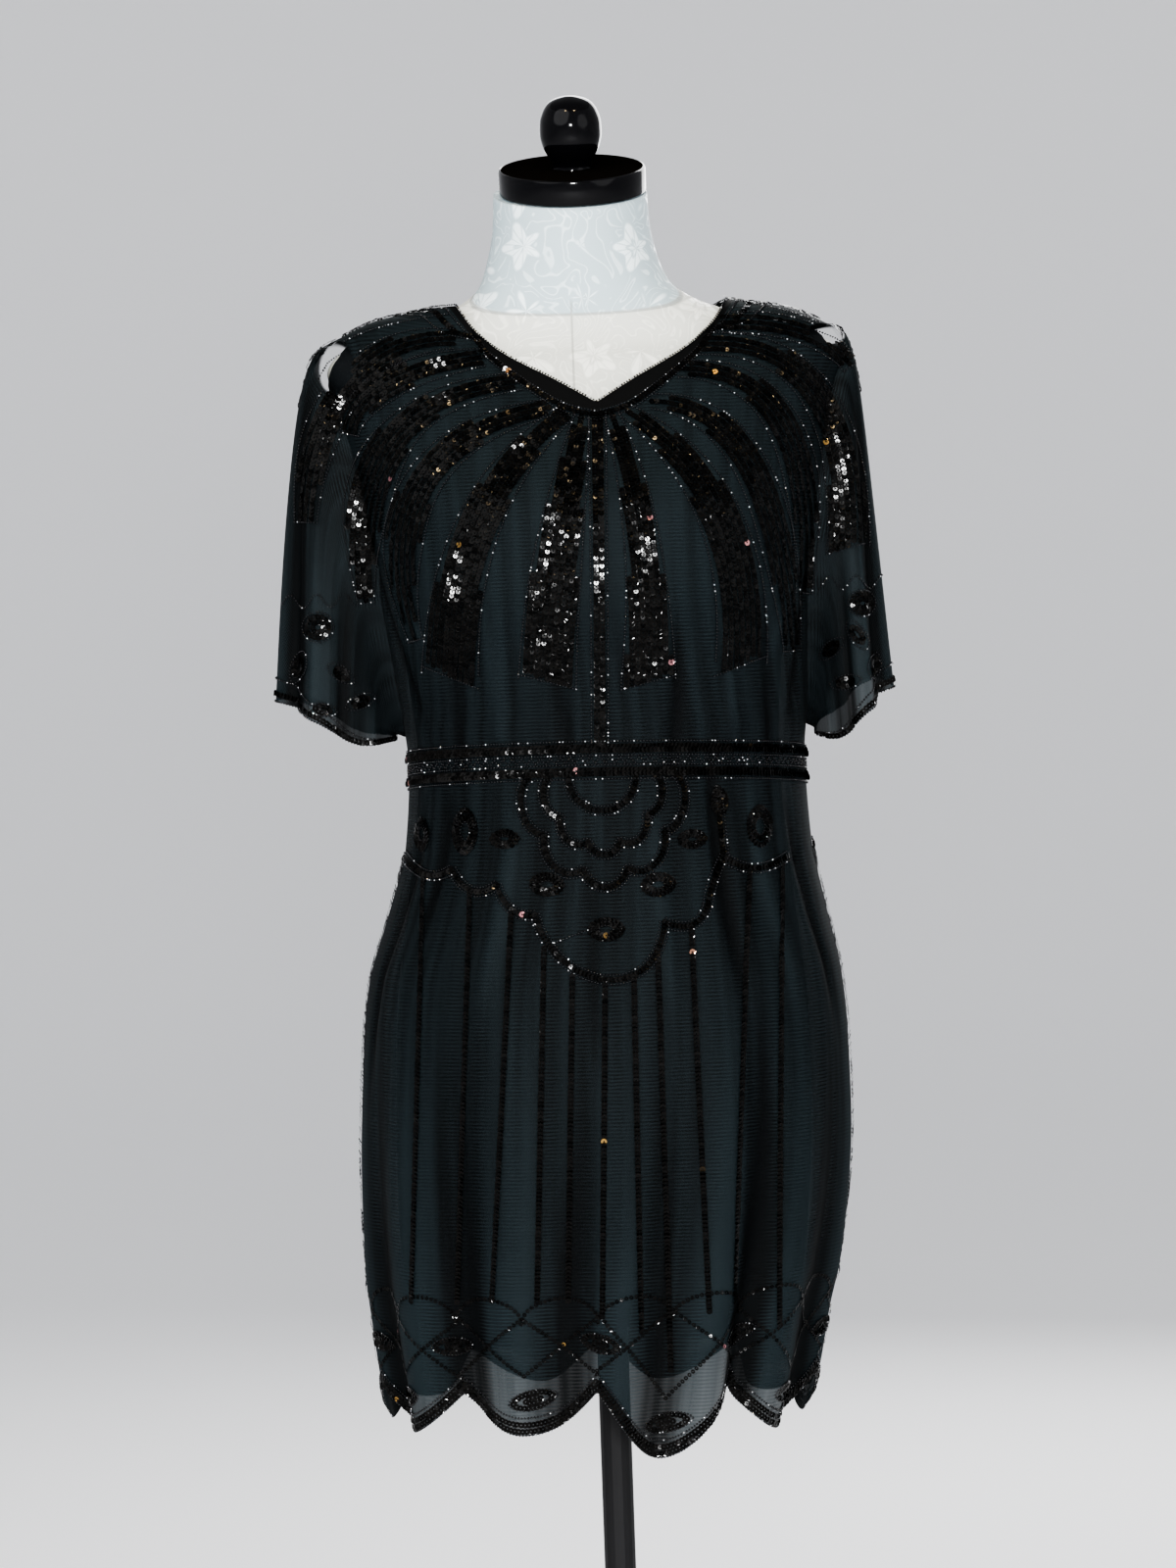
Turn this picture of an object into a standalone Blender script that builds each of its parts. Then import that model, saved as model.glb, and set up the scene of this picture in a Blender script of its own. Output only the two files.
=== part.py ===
"""Sequin mini dress of net over a tank lining, standing on a limbless dress form.

Metres, +Z up, the garment's front faces -Y and the floor is z = 0.
Every cloth piece is a thin wall worked out from short tables of body sections.
"""
import math

import bpy
import numpy as np

# Driving sizes
NET_WALL = 0.0012  # thickness of the net panels
LINING_WALL = 0.0012  # thickness of the lining panels
BINDING_WALL = 0.0020  # thickness of the folded bias binding
SEAM_GAP = 0.0004  # room left between neighbouring pieces
SLEEVE_GAP = 0.0007  # room left round the armhole seam
BELT_Z = 1.040  # height of the beaded belt, the narrowest place of the net
UNDERARM_Z = 1.062  # where the side seam opens into the armhole
SHOULDER_Z = 1.3645  # where the armhole meets the shoulder ridge
EDGE_TOP_Z = 1.386  # height of the neck edge on the shoulder ridge
# Levels of the rows above the belt at the armhole edge; they close up where the shoulder bends.
LEVELS = (
    1.040, 1.062, 1.088, 1.122, 1.160, 1.200, 1.240, 1.277, 1.306, 1.328, 1.343,
    1.3525, 1.3595, 1.3645, 1.3695, 1.3745, 1.380, 1.386,
)
SCALLOPS = 10  # scallops round the hem
NOTCH_TURN = -1.0  # degrees from the front centre to one notch between scallops
LINING_WAVE = 0.007  # rise and fall of the lining hem
NECK_TILT = 0.32  # slope of the neck's top, front lower than back
CAP_RADIUS = 0.056
CAP_HEIGHT = 0.0195
CAP_FOOT = (0.0, -0.004, 1.4718)  # centre of the cap's underside
KNOB_HEIGHT = 0.054
POLE_RADIUS = 0.012
FORM_FOOT_Z = 0.700  # flat underside of the torso
BASE_RADIUS = 0.165

# One row for each level: height, half width, front depth, back depth, sideways shift of the
# centre line, and how square the ring is between front and side.
SECTION = ("z", "half", "front", "back", "centre", "square")
FORM_ROWS = [
    (0.700, 0.146, 0.106, 0.116, 0.000, 0.03),
    (0.760, 0.153, 0.112, 0.126, 0.000, 0.03),
    (0.840, 0.149, 0.108, 0.120, 0.001, 0.03),
    (0.940, 0.138, 0.098, 0.104, 0.002, 0.02),
    (1.030, 0.124, 0.092, 0.090, 0.003, 0.02),
    (1.110, 0.134, 0.106, 0.094, 0.003, 0.02),
    (1.200, 0.153, 0.1386, 0.100, 0.003, 0.02),
    (1.270, 0.169, 0.115, 0.102, 0.003, 0.03),
    (1.316, 0.184, 0.086, 0.091, 0.003, 0.04),
    (1.340, 0.195, 0.070, 0.078, 0.003, 0.05),
    (1.352, 0.189, 0.060, 0.066, 0.003, 0.04),
    (1.3641, 0.160, 0.0555, 0.061, 0.002, 0.02),
    (1.3762, 0.123, 0.054, 0.059, 0.001, 0.00),
    (1.3882, 0.091, 0.0535, 0.0585, 0.000, 0.00),
    (1.402, 0.073, 0.055, 0.059, -0.001, 0.00),
    (1.422, 0.065, 0.056, 0.058, -0.002, 0.00),
    (1.446, 0.060, 0.057, 0.058, -0.002, 0.00),
    (1.4725, 0.0585, 0.057, 0.057, -0.002, 0.00),
]
NET_ROWS = [
    (0.500, 0.152, 0.134, 0.140, -0.014, 0.05),
    (0.540, 0.157, 0.136, 0.142, -0.013, 0.05),
    (0.575, 0.165, 0.139, 0.145, -0.010, 0.05),
    (0.620, 0.173, 0.143, 0.149, -0.008, 0.05),
    (0.657, 0.180, 0.146, 0.152, -0.005, 0.05),
    (0.760, 0.187, 0.150, 0.157, 0.001, 0.05),
    (0.830, 0.185, 0.146, 0.154, 0.003, 0.05),
    (0.874, 0.1805, 0.141, 0.148, 0.004, 0.05),
    (0.926, 0.167, 0.133, 0.138, 0.007, 0.04),
    (0.978, 0.155, 0.124, 0.126, 0.010, 0.04),
    (1.040, 0.1515, 0.117, 0.112, 0.011, 0.03),
    (1.070, 0.154, 0.121, 0.111, 0.011, 0.03),
    (1.110, 0.158, 0.130, 0.111, 0.009, 0.03),
    (1.173, 0.166, 0.147, 0.113, 0.006, 0.03),
    (1.215, 0.173, 0.147, 0.115, 0.006, 0.03),
    (1.277, 0.186, 0.121, 0.114, 0.005, 0.04),
    (1.320, 0.197, 0.095, 0.103, 0.004, 0.05),
    (1.345, 0.205, 0.077, 0.086, 0.004, 0.06),
    (1.357, 0.200, 0.067, 0.074, 0.004, 0.05),
    (1.368, 0.170, 0.0625, 0.068, 0.003, 0.03),
    (1.380, 0.132, 0.0610, 0.0655, 0.002, 0.01),
    (1.392, 0.099, 0.0605, 0.0655, 0.001, 0.00),
    (1.405, 0.084, 0.0605, 0.0655, 0.000, 0.00),
]
LINING_ROWS = [
    (0.560, 0.149, 0.122, 0.129, -0.009, 0.04),
    (0.640, 0.155, 0.126, 0.133, -0.006, 0.04),
    (0.760, 0.160, 0.129, 0.139, -0.001, 0.04),
    (0.840, 0.158, 0.124, 0.134, 0.001, 0.04),
    (0.940, 0.147, 0.112, 0.118, 0.003, 0.03),
    (1.040, 0.138, 0.103, 0.100, 0.005, 0.02),
    (1.110, 0.143, 0.114, 0.101, 0.004, 0.02),
    (1.200, 0.159, 0.1415, 0.104, 0.003, 0.02),
    (1.270, 0.175, 0.1195, 0.107, 0.003, 0.03),
    (1.318, 0.191, 0.0910, 0.0975, 0.003, 0.04),
    (1.343, 0.200, 0.0735, 0.0815, 0.003, 0.05),
    (1.355, 0.1945, 0.0635, 0.0695, 0.003, 0.04),
    (1.3664, 0.166, 0.0590, 0.0645, 0.002, 0.02),
    (1.3786, 0.128, 0.0575, 0.0620, 0.001, 0.00),
    (1.3907, 0.0950, 0.0570, 0.0615, 0.000, 0.00),
    (1.405, 0.0790, 0.0580, 0.0620, 0.000, 0.00),
]
# Armhole edge of the net panels: how far round from the front centre it lies, in degrees.
ARMHOLE = ("z", "turn")
ARMHOLE_ROWS = [
    (0.400, 90.0), (1.062, 90.0), (1.080, 86.0), (1.110, 82.5), (1.173, 76.5),
    (1.277, 70.5), (1.320, 69.0), (1.345, 70.0), (1.357, 76.0), (1.3645, 90.0), (1.500, 90.0),
]
LINING_ARMHOLE_ROWS = [
    (0.400, 90.0), (1.318, 90.0), (1.328, 80.0), (1.343, 68.0), (1.3525, 65.5),
    (1.3595, 70.0), (1.3695, 90.0), (1.500, 90.0),
]
# Neck edges as seen from the front: height of the edge at each distance from the V's centre.
NECK = ("off", "z")
V_ROWS = [
    (0.000, 1.3055), (0.030, 1.3240), (0.053, 1.3370), (0.067, 1.3455),
    (0.090, 1.3660), (0.104, 1.3870),
]
NET_NECK_ROWS = [
    (0.000, 1.2990), (0.021, 1.3050), (0.046, 1.3210), (0.068, 1.3385),
    (0.090, 1.3595), (0.1085, 1.3850),
]
BACK_NECK_ROWS = [(0.000, 1.3700), (0.040, 1.3730), (0.075, 1.3800), (0.104, 1.3870)]
BACK_NET_NECK_ROWS = [(0.000, 1.3600), (0.040, 1.3640), (0.075, 1.3740), (0.1085, 1.3850)]
NECK_CENTRE = 0.012  # the V hangs this far to the viewer's right
# Soft folds of the net skirt: degrees from the front centre, width in degrees, push outward
# at the hem (negative is a trough), and the height where the fold has died away.
FOLD = ("turn", "width", "push", "top")
NET_FOLDS = [
    (-76, 6.0, 0.0060, 0.88), (-63, 5.0, -0.0080, 0.84), (-49, 7.0, 0.0070, 0.94),
    (-34, 5.0, -0.0075, 0.86), (-22, 6.0, 0.0060, 0.92), (-8, 5.0, -0.0060, 0.82),
    (4, 6.0, 0.0060, 0.90), (15, 5.0, -0.0050, 0.84), (27, 6.0, 0.0110, 0.90),
    (36, 4.2, -0.0150, 0.86), (47, 7.0, 0.0070, 0.92), (61, 5.0, -0.0075, 0.84),
    (75, 6.0, 0.0060, 0.90), (98, 7.0, -0.0060, 0.86), (113, 7.0, 0.0080, 0.92),
    (130, 6.0, -0.0085, 0.88), (146, 7.0, 0.0080, 0.94), (163, 6.0, -0.0070, 0.84),
    (178, 7.0, 0.0075, 0.90), (-166, 6.0, -0.0075, 0.86), (-150, 7.0, 0.0080, 0.94),
    (-133, 6.0, -0.0080, 0.84), (-117, 7.0, 0.0075, 0.90), (-100, 6.0, -0.0060, 0.86),
]
# Hem of the net: lowest point and notch height of the scallops at each place round it.
HEM = ("turn", "low", "notch")
HEM_ROWS = [
    (-180, 0.542, 0.574), (-90, 0.540, 0.570), (-55, 0.543, 0.572), (-19, 0.546, 0.578),
    (17, 0.525, 0.578), (53, 0.538, 0.574), (90, 0.536, 0.568), (180, 0.542, 0.574),
]
# Cuff of each sleeve: outer corner, place next to the underarm, half depth and heights.
SLEEVE = ("side", "corner", "inner", "depth", "corner_z", "low_z", "inner_z", "back_lift")
SLEEVE_ROWS = [
    (-1, 0.237, 0.150, 0.036, 1.093, 1.057, 1.061, 0.010),
    (1, 0.229, 0.172, 0.036, 1.088, 1.050, 1.054, 0.022),
]
TIP_OUT = 0.214  # the sleeve's outline beside the shoulder tip
TIP_Z = 1.361
SLEEVE_WAVES = 5
SLEEVE_WAVE_PUSH = 0.0035
# Colours, roughness and metallic of the slots
FINISHES = {
    "net": ((0.020, 0.025, 0.030), 0.75, 0.0),
    "lining": ((0.016, 0.020, 0.024), 0.80, 0.0),
    "binding": ((0.012, 0.014, 0.017), 0.70, 0.0),
    "damask": ((0.780, 0.770, 0.735), 0.55, 0.0),
    "black_gloss": ((0.006, 0.006, 0.007), 0.12, 0.0),
    "black_metal": ((0.012, 0.012, 0.013), 0.35, 0.0),
}


def table(names, rows):
    """The rows as one array for each named column."""
    return {name: np.array([float(row[i]) for row in rows]) for i, name in enumerate(names)}


def curve(at, known, values):
    """A smooth curve through the values that never overshoots them."""
    at, step = np.asarray(at, float), np.diff(known)
    rise = np.diff(values) / step
    slope = np.empty_like(values)
    slope[0], slope[-1] = rise[0], rise[-1]
    same = rise[:-1] * rise[1:] > 0
    near, far = 2 * step[1:] + step[:-1], step[1:] + 2 * step[:-1]
    with np.errstate(divide="ignore", invalid="ignore"):
        mean = (near + far) / (near / rise[:-1] + far / rise[1:])
    slope[1:-1] = np.where(same, mean, 0.0)
    clipped = np.clip(at, known[0], known[-1])
    i = np.clip(np.searchsorted(known, clipped, side="right") - 1, 0, len(step) - 1)
    h, t = step[i], (clipped - known[i]) / step[i]
    t2, t3 = t * t, t * t * t
    return (
        (2 * t3 - 3 * t2 + 1) * values[i]
        + (t3 - 2 * t2 + t) * h * slope[i]
        + (3 * t2 - 2 * t3) * values[i + 1]
        + (t3 - t2) * h * slope[i + 1]
    )


def look(sections, name, z):
    return curve(z, sections["z"], sections[name])


FORM = table(SECTION, FORM_ROWS)
NET = table(SECTION, NET_ROWS)
LINING = table(SECTION, LINING_ROWS)
NET_ARMHOLE = table(ARMHOLE, ARMHOLE_ROWS)
LINING_ARMHOLE = table(ARMHOLE, LINING_ARMHOLE_ROWS)
FOLDS = table(FOLD, NET_FOLDS)
HEM_TABLE = table(HEM, HEM_ROWS)


def ring_point(sections, turn, z, push=0.0):
    """Point of the rounded surface; turn 0 is the front centre, + goes to the viewer's right."""
    half = look(sections, "half", z) + push
    deep = np.where(np.cos(turn) >= 0, look(sections, "front", z), look(sections, "back", z))
    swell = 1 + look(sections, "square", z) * np.sin(2 * turn) ** 2
    x = look(sections, "centre", z) + half * swell * np.sin(turn)
    y = -(deep + push) * swell * np.cos(turn)
    return np.stack([x, y, z + 0 * x], -1)


def fold_push(turn, z):
    """How far the folds move the net in or out."""
    degrees = np.degrees(turn)
    total = 0.0 * (degrees + z)
    for k in range(len(FOLDS["turn"])):
        away = (degrees - FOLDS["turn"][k] + 180) % 360 - 180
        fade = np.clip((FOLDS["top"][k] - z) / (FOLDS["top"][k] - 0.53), 0, 1) ** 1.1
        total = total + FOLDS["push"][k] * fade * np.exp(-((away / FOLDS["width"][k]) ** 2))
    return total


def net_point(turn, z):
    return ring_point(NET, turn, z, fold_push(turn, z))


def lining_point(turn, z):
    return ring_point(LINING, turn, z)


def outward(surface, turn, z):
    """Unit normals of a surface given by turn and height."""
    d_turn, d_z = 2e-3, 4e-4
    across = surface(turn + d_turn, z) - surface(turn - d_turn, z)
    up = surface(turn, z + d_z) - surface(turn, z - d_z)
    normal = np.cross(across, up)
    return normal / np.linalg.norm(normal, axis=-1, keepdims=True)


def hem_height(turn):
    degrees = (np.degrees(turn) + 180) % 360 - 180
    low = curve(degrees, HEM_TABLE["turn"], HEM_TABLE["low"])
    notch = curve(degrees, HEM_TABLE["turn"], HEM_TABLE["notch"])
    swing = np.abs(np.sin(np.radians((degrees - NOTCH_TURN) * SCALLOPS / 2)))
    return notch - (notch - low) * swing


def lining_hem(turn):
    return 0.612 + LINING_WAVE * np.sin(5 * turn + 0.6) + 0.004 * np.sin(11 * turn)


def edge_height(sections, rows, share, armhole):
    """Height where a column, a share of the way to the armhole, meets a neck edge."""
    neck = table(NECK, rows)
    if abs(share) > 0.999:
        return EDGE_TOP_Z
    low, high = 1.25, EDGE_TOP_Z
    for _ in range(40):
        z = (low + high) / 2
        turn = math.radians(share * float(look(armhole, "turn", z)))
        x = float(ring_point(sections, np.array(turn), np.array(z))[0])
        off = min(abs(x - NECK_CENTRE), neck["off"][-1])
        under = z < float(curve(off, neck["off"], neck["z"]))
        low, high = (z, high) if under else (low, z)
    return (low + high) / 2


def panel_grid(sections, armhole, neck_rows, hem, columns, below, back):
    """Turn and height of each point of a panel, with some rows below the belt."""
    turns, heights = [], []
    for part in np.linspace(-1, 1, columns) * (-1 if back else 1):

        def turn_at(z, part=part):
            turn = np.radians(part * look(armhole, "turn", z))
            return np.pi - turn if back else turn

        foot = float(hem(turn_at(np.array(0.55))))
        top = edge_height(sections, neck_rows, part, armhole)
        upper = BELT_Z + (np.array(LEVELS) - BELT_Z) * (top - BELT_Z) / (EDGE_TOP_Z - BELT_Z)
        lower = np.linspace(foot, BELT_Z, below + 1)[:-1]
        z = np.concatenate([lower, upper])
        turns.append(turn_at(z))
        heights.append(z)
    return np.array(turns), np.array(heights)


def wall_object(name, outer, inner, closed, slot):
    """A closed wall between two grids of points of the same size."""
    columns, rows = outer.shape[:2]
    size = columns * rows
    points = np.concatenate([outer.reshape(-1, 3), inner.reshape(-1, 3)])
    faces = []
    last = columns if closed else columns - 1
    for i in range(last):
        k = (i + 1) % columns
        for j in range(rows - 1):
            a, b, c, d = i * rows + j, k * rows + j, k * rows + j + 1, i * rows + j + 1
            faces.append((a, b, c, d))
            faces.append((a + size, d + size, c + size, b + size))
        for j in (0, rows - 1):
            a, b = i * rows + j, k * rows + j
            if j == 0:
                a, b = b, a
            faces.append((a, b, b + size, a + size))
    if not closed:
        for i in (0, columns - 1):
            for j in range(rows - 1):
                a, b = i * rows + j, i * rows + j + 1
                if i == 0:
                    a, b = b, a
                faces.append((b, a, a + size, b + size))
    return mesh_object(name, points, faces, slot)


def mesh_object(name, points, faces, slot, smooth=False):
    mesh = bpy.data.meshes.new(name)
    mesh.from_pydata([tuple(map(float, p)) for p in points], [], faces)
    mesh.materials.append(MATERIALS[slot])
    for polygon in mesh.polygons:
        polygon.use_smooth = smooth
    mesh.update()
    made = bpy.data.objects.new(name, mesh)
    bpy.context.scene.collection.objects.link(made)
    return made


def lathe(name, rings, slot):
    """A closed solid through rings of points; both ends are closed with flat faces."""
    count = len(rings[0])
    faces = [tuple(reversed(range(count)))]
    for j in range(len(rings) - 1):
        for i in range(count):
            k = (i + 1) % count
            a, b = j * count, (j + 1) * count
            faces.append((a + i, a + k, b + k, b + i))
    faces.append(tuple(range((len(rings) - 1) * count, len(rings) * count)))
    return mesh_object(name, np.concatenate(rings), faces, slot, smooth=True)


def round_rings(profile, sides, place, tilt=0.0):
    """Rings from (radius, height) pairs round an axis that leans forward by the tilt."""
    angle = np.arange(sides) * 2 * np.pi / sides
    lean = math.atan(tilt)
    rings = []
    for radius, height in profile:
        x, y = radius * np.cos(angle), radius * np.sin(angle)
        rings.append(
            np.stack(
                [
                    place[0] + x,
                    place[1] + y * math.cos(lean) - height * math.sin(lean),
                    place[2] + y * math.sin(lean) + height * math.cos(lean),
                ],
                -1,
            )
        )
    return rings


def make_materials():
    made = {}
    for slot, (colour, roughness, metallic) in FINISHES.items():
        material = bpy.data.materials.new(slot)
        material.use_nodes = True
        shader = material.node_tree.nodes["Principled BSDF"]
        shader.inputs["Base Color"].default_value = (*colour, 1.0)
        shader.inputs["Roughness"].default_value = roughness
        shader.inputs["Metallic"].default_value = metallic
        material.diffuse_color = (*colour, 1.0)
        made[slot] = material
    return made


def panel(name, surface, sections, armhole, neck, hem, columns, below, wall, slot, back):
    """A front or back panel from its hem to its neck edge, side seam to side seam."""
    turn, z = panel_grid(sections, armhole, neck, hem, columns, below, back)
    outer = surface(turn, z)
    inner = outer - wall * outward(surface, turn, z)
    for grid in (outer, inner):
        grid[..., 1] += SEAM_GAP / 2 if back else -SEAM_GAP / 2
    return wall_object(name, outer, inner, False, slot)


def binding(name, neck, edge, columns, back):
    """The folded strip between the net's neck edge and the open edge of the neck."""
    turns, heights = [], []
    for part in np.linspace(-1, 1, columns) * (-1 if back else 1):
        low = edge_height(NET, neck, part, NET_ARMHOLE) + SEAM_GAP * 1.5
        high = edge_height(NET, edge, part, NET_ARMHOLE)
        z = np.linspace(low, max(high, low + 0.002), 3)
        turn = np.radians(part * look(NET_ARMHOLE, "turn", z))
        turns.append(np.pi - turn if back else turn)
        heights.append(z)
    turn, z = np.array(turns), np.array(heights)
    normal = outward(net_point, turn, z)
    middle = net_point(turn, z) - NET_WALL / 2 * normal
    outer, inner = middle + BINDING_WALL / 2 * normal, middle - BINDING_WALL / 2 * normal
    for grid in (outer, inner):
        grid[..., 1] += SEAM_GAP / 2 if back else -SEAM_GAP / 2
    return wall_object(name, outer, inner, False, "binding")


def armhole_loop(side):
    """The armhole from the shoulder down the front and up the back, just inside its edge."""
    z = np.array([v for v in LEVELS if UNDERARM_Z <= v <= SHOULDER_Z])
    z = np.concatenate([z[::-1], z[1:-1]])
    front = np.arange(len(z)) <= np.argmin(z)
    turn = side * np.radians(look(NET_ARMHOLE, "turn", z))
    turn = np.where(front, turn, side * np.pi - turn)
    line, normal = net_point(turn, z), outward(net_point, turn, z)
    along = np.roll(line, -1, axis=0) - np.roll(line, 1, axis=0)
    into = np.cross(normal, along) * side
    into /= np.linalg.norm(into, axis=-1, keepdims=True)
    return line + into * SLEEVE_GAP, normal, front


def sleeve_grid(row, rings):
    """Points of one sleeve, ring by ring from the armhole to the cuff."""
    size = dict(zip(SLEEVE, row))
    side = size["side"]
    start, body, front = armhole_loop(side)
    fall = np.clip((start[:, 2].max() - start[:, 2]) / np.ptp(start[:, 2]), 0, 1)
    # 0 is the shoulder ridge, 90 the front, 180 the underarm, 270 the back
    around = np.arccos(1 - 2 * fall ** 1.15)
    around = np.where(front, around, 2 * np.pi - around)
    middle, half = (size["corner"] + size["inner"]) / 2, (size["corner"] - size["inner"]) / 2
    depth = -size["depth"] * np.sin(around) * (1 + 0.15 * np.cos(around))
    swing = np.sin(around / 2) ** 2
    shoulder_level = (size["corner_z"] + size["low_z"]) / 2
    level = curve(
        swing,
        np.array([0.0, 0.35, 0.75, 1.0]),
        np.array([size["corner_z"], shoulder_level, size["low_z"], size["inner_z"]]),
    )
    lift = np.where(front, 0.0, size["back_lift"] * np.abs(np.sin(around)))
    end = np.stack([side * (middle + half * np.cos(around)), depth, level + lift], -1)
    # Two guide points shape each line: out along the shoulder, then down the arm's side.
    share = (np.cos(around / 2) ** 2)[:, None]
    tip = np.stack([side * TIP_OUT + 0 * around, start[:, 1] * 1.05, TIP_Z + 0 * around], -1)
    out = start + 0.30 * (end - start) + share * np.array([[side * 0.020, 0, 0]])
    guide_a = start + (tip - start) * share**1.5 + (out - start) * (1 - share**1.5)
    drop = np.stack([0 * around, 0.10 * depth, 0.17 + 0 * around], -1)
    guide_b = end + share * (drop + np.array([[-side * 0.012, 0, 0]]))
    guide_b[:, 2] += 0.006
    t = (np.linspace(0, 1, rings + 1) ** 0.9)[None, :, None]
    grid = (
        (1 - t) ** 3 * start[:, None]
        + 3 * (1 - t) ** 2 * t * guide_a[:, None]
        + 3 * (1 - t) * t**2 * guide_b[:, None]
        + t**3 * end[:, None]
    )
    return grid, around, body


def sleeve_normals(grid, side):
    across = np.roll(grid, -1, axis=0) - np.roll(grid, 1, axis=0)
    normal = np.cross(across, np.gradient(grid, axis=1)) * side
    return normal / np.maximum(np.linalg.norm(normal, axis=-1, keepdims=True), 1e-9)


def sleeve(name, row, rings):
    side = row[0]
    grid, around, body = sleeve_grid(row, rings)
    t = np.linspace(0, 1, rings + 1)
    wave = SLEEVE_WAVE_PUSH * np.sin(SLEEVE_WAVES * around + 0.7)[:, None] * (t**1.5)[None, :]
    wave = wave * np.cos(around / 2)[:, None] ** 2
    grid = grid + wave[..., None] * sleeve_normals(grid, side)
    under = np.clip((np.sin(around / 2) ** 2 - 0.55) / 0.3, 0, 1)[:, None]
    blend = np.maximum(np.clip(t * 5, 0, 1)[None, :], under)[..., None]
    normal = body[:, None] * (1 - blend) + sleeve_normals(grid, side) * blend
    normal = normal / np.linalg.norm(normal, axis=-1, keepdims=True)
    outer, inner = grid, grid - NET_WALL * normal
    if side < 0:
        outer, inner = outer[::-1], inner[::-1]
    return wall_object(name, outer, inner, True, "net")


def main():
    for thing in list(bpy.data.objects):
        bpy.data.objects.remove(thing, do_unlink=True)
    MATERIALS.update(make_materials())

    panel("dress_front", net_point, NET, NET_ARMHOLE, NET_NECK_ROWS, hem_height,
          35, 10, NET_WALL, "net", back=False)
    panel("dress_back", net_point, NET, NET_ARMHOLE, BACK_NET_NECK_ROWS, hem_height,
          29, 9, NET_WALL, "net", back=True)
    panel("lining_front", lining_point, LINING, LINING_ARMHOLE, V_ROWS, lining_hem,
          29, 3, LINING_WALL, "lining", back=False)
    panel("lining_back", lining_point, LINING, LINING_ARMHOLE, BACK_NECK_ROWS, lining_hem,
          17, 3, LINING_WALL, "lining", back=True)
    binding("neck_binding_front", NET_NECK_ROWS, V_ROWS, 33, back=False)
    binding("neck_binding_back", BACK_NET_NECK_ROWS, BACK_NECK_ROWS, 21, back=True)
    sleeve("sleeve_left", SLEEVE_ROWS[0], 9)
    sleeve("sleeve_right", SLEEVE_ROWS[1], 9)

    sides = 28
    turn = -np.arange(sides) * 2 * np.pi / sides
    heights = [row[0] for row in FORM_ROWS]
    levels = sorted(set(heights + [0.73, 0.80, 0.89, 0.985, 1.07, 1.155, 1.235, 1.295]))
    rings = []
    for z in levels:
        ring = ring_point(FORM, turn[::-1], np.full(sides, z))
        ring[:, 2] += NECK_TILT * np.clip((z - 1.405) / 0.06, 0, 1) * ring[:, 1]
        rings.append(ring)
    lathe("form_torso", rings, "damask")
    cap = [(0.0545, 0.0004), (CAP_RADIUS, 0.0020), (CAP_RADIUS, CAP_HEIGHT - 0.002),
           (0.0542, CAP_HEIGHT)]
    lathe("form_cap", round_rings(cap, 40, CAP_FOOT, NECK_TILT), "black_gloss")
    foot = CAP_HEIGHT + SEAM_GAP
    knob = [(0.0155, foot), (0.0150, foot + 0.003), (0.0175, foot + 0.008),
            (0.0215, foot + 0.016), (0.0235, foot + 0.026), (0.0232, foot + 0.034),
            (0.0205, foot + 0.043), (0.0150, foot + 0.050), (0.0075, foot + KNOB_HEIGHT - 0.001),
            (0.0025, foot + KNOB_HEIGHT)]
    lathe("form_knob", round_rings(knob, 24, CAP_FOOT, NECK_TILT), "black_gloss")
    pole = [(POLE_RADIUS, 0.0264), (POLE_RADIUS, FORM_FOOT_Z - SEAM_GAP)]
    lathe("stand_pole", round_rings(pole, 20, (0, 0, 0)), "black_metal")
    base = [(BASE_RADIUS, 0.0), (BASE_RADIUS, 0.010), (BASE_RADIUS - 0.004, 0.014),
            (0.060, 0.020), (0.024, 0.026)]
    lathe("stand_base", round_rings(base, 48, (0, 0, 0)), "black_metal")


MATERIALS = {}
main()
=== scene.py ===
# %% [markdown]
# This lesson dresses the plain solids of a sequin mini dress on its dress form.
# The cloth is made again as thin shells on the same surfaces, only finer, because net and
# lining show their form through small folds that a coarse solid can't hold.
# Thousands of sequins and beads then follow curves that lie on those shells.

import math

import bpy
import numpy as np
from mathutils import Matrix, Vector
from mathutils.bvhtree import BVHTree


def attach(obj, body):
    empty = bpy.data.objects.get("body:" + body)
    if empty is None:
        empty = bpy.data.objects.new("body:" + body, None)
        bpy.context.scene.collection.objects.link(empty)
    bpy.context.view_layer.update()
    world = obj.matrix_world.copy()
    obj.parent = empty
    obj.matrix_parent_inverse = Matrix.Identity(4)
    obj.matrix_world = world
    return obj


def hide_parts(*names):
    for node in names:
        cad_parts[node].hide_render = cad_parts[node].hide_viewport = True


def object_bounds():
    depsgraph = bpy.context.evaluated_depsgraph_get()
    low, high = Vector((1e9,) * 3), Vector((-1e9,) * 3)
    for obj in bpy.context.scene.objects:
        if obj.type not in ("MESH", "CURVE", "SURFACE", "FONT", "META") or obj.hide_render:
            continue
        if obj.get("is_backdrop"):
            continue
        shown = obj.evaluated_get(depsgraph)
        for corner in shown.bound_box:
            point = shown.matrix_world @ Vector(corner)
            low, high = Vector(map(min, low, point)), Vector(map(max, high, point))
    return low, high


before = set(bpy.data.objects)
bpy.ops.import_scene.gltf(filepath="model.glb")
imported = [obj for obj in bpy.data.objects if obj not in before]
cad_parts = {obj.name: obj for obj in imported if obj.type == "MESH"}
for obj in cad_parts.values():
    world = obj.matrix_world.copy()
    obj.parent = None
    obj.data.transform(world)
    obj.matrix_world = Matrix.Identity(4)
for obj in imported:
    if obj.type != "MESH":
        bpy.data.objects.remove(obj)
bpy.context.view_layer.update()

# %% [markdown]
# A garment on a form is easiest to describe by its body sections: at each height, how wide
# it is, and how deep at the front and back. A smooth curve through the rows of a table gives
# every height between, so a shell can be as fine as it needs to be.

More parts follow.
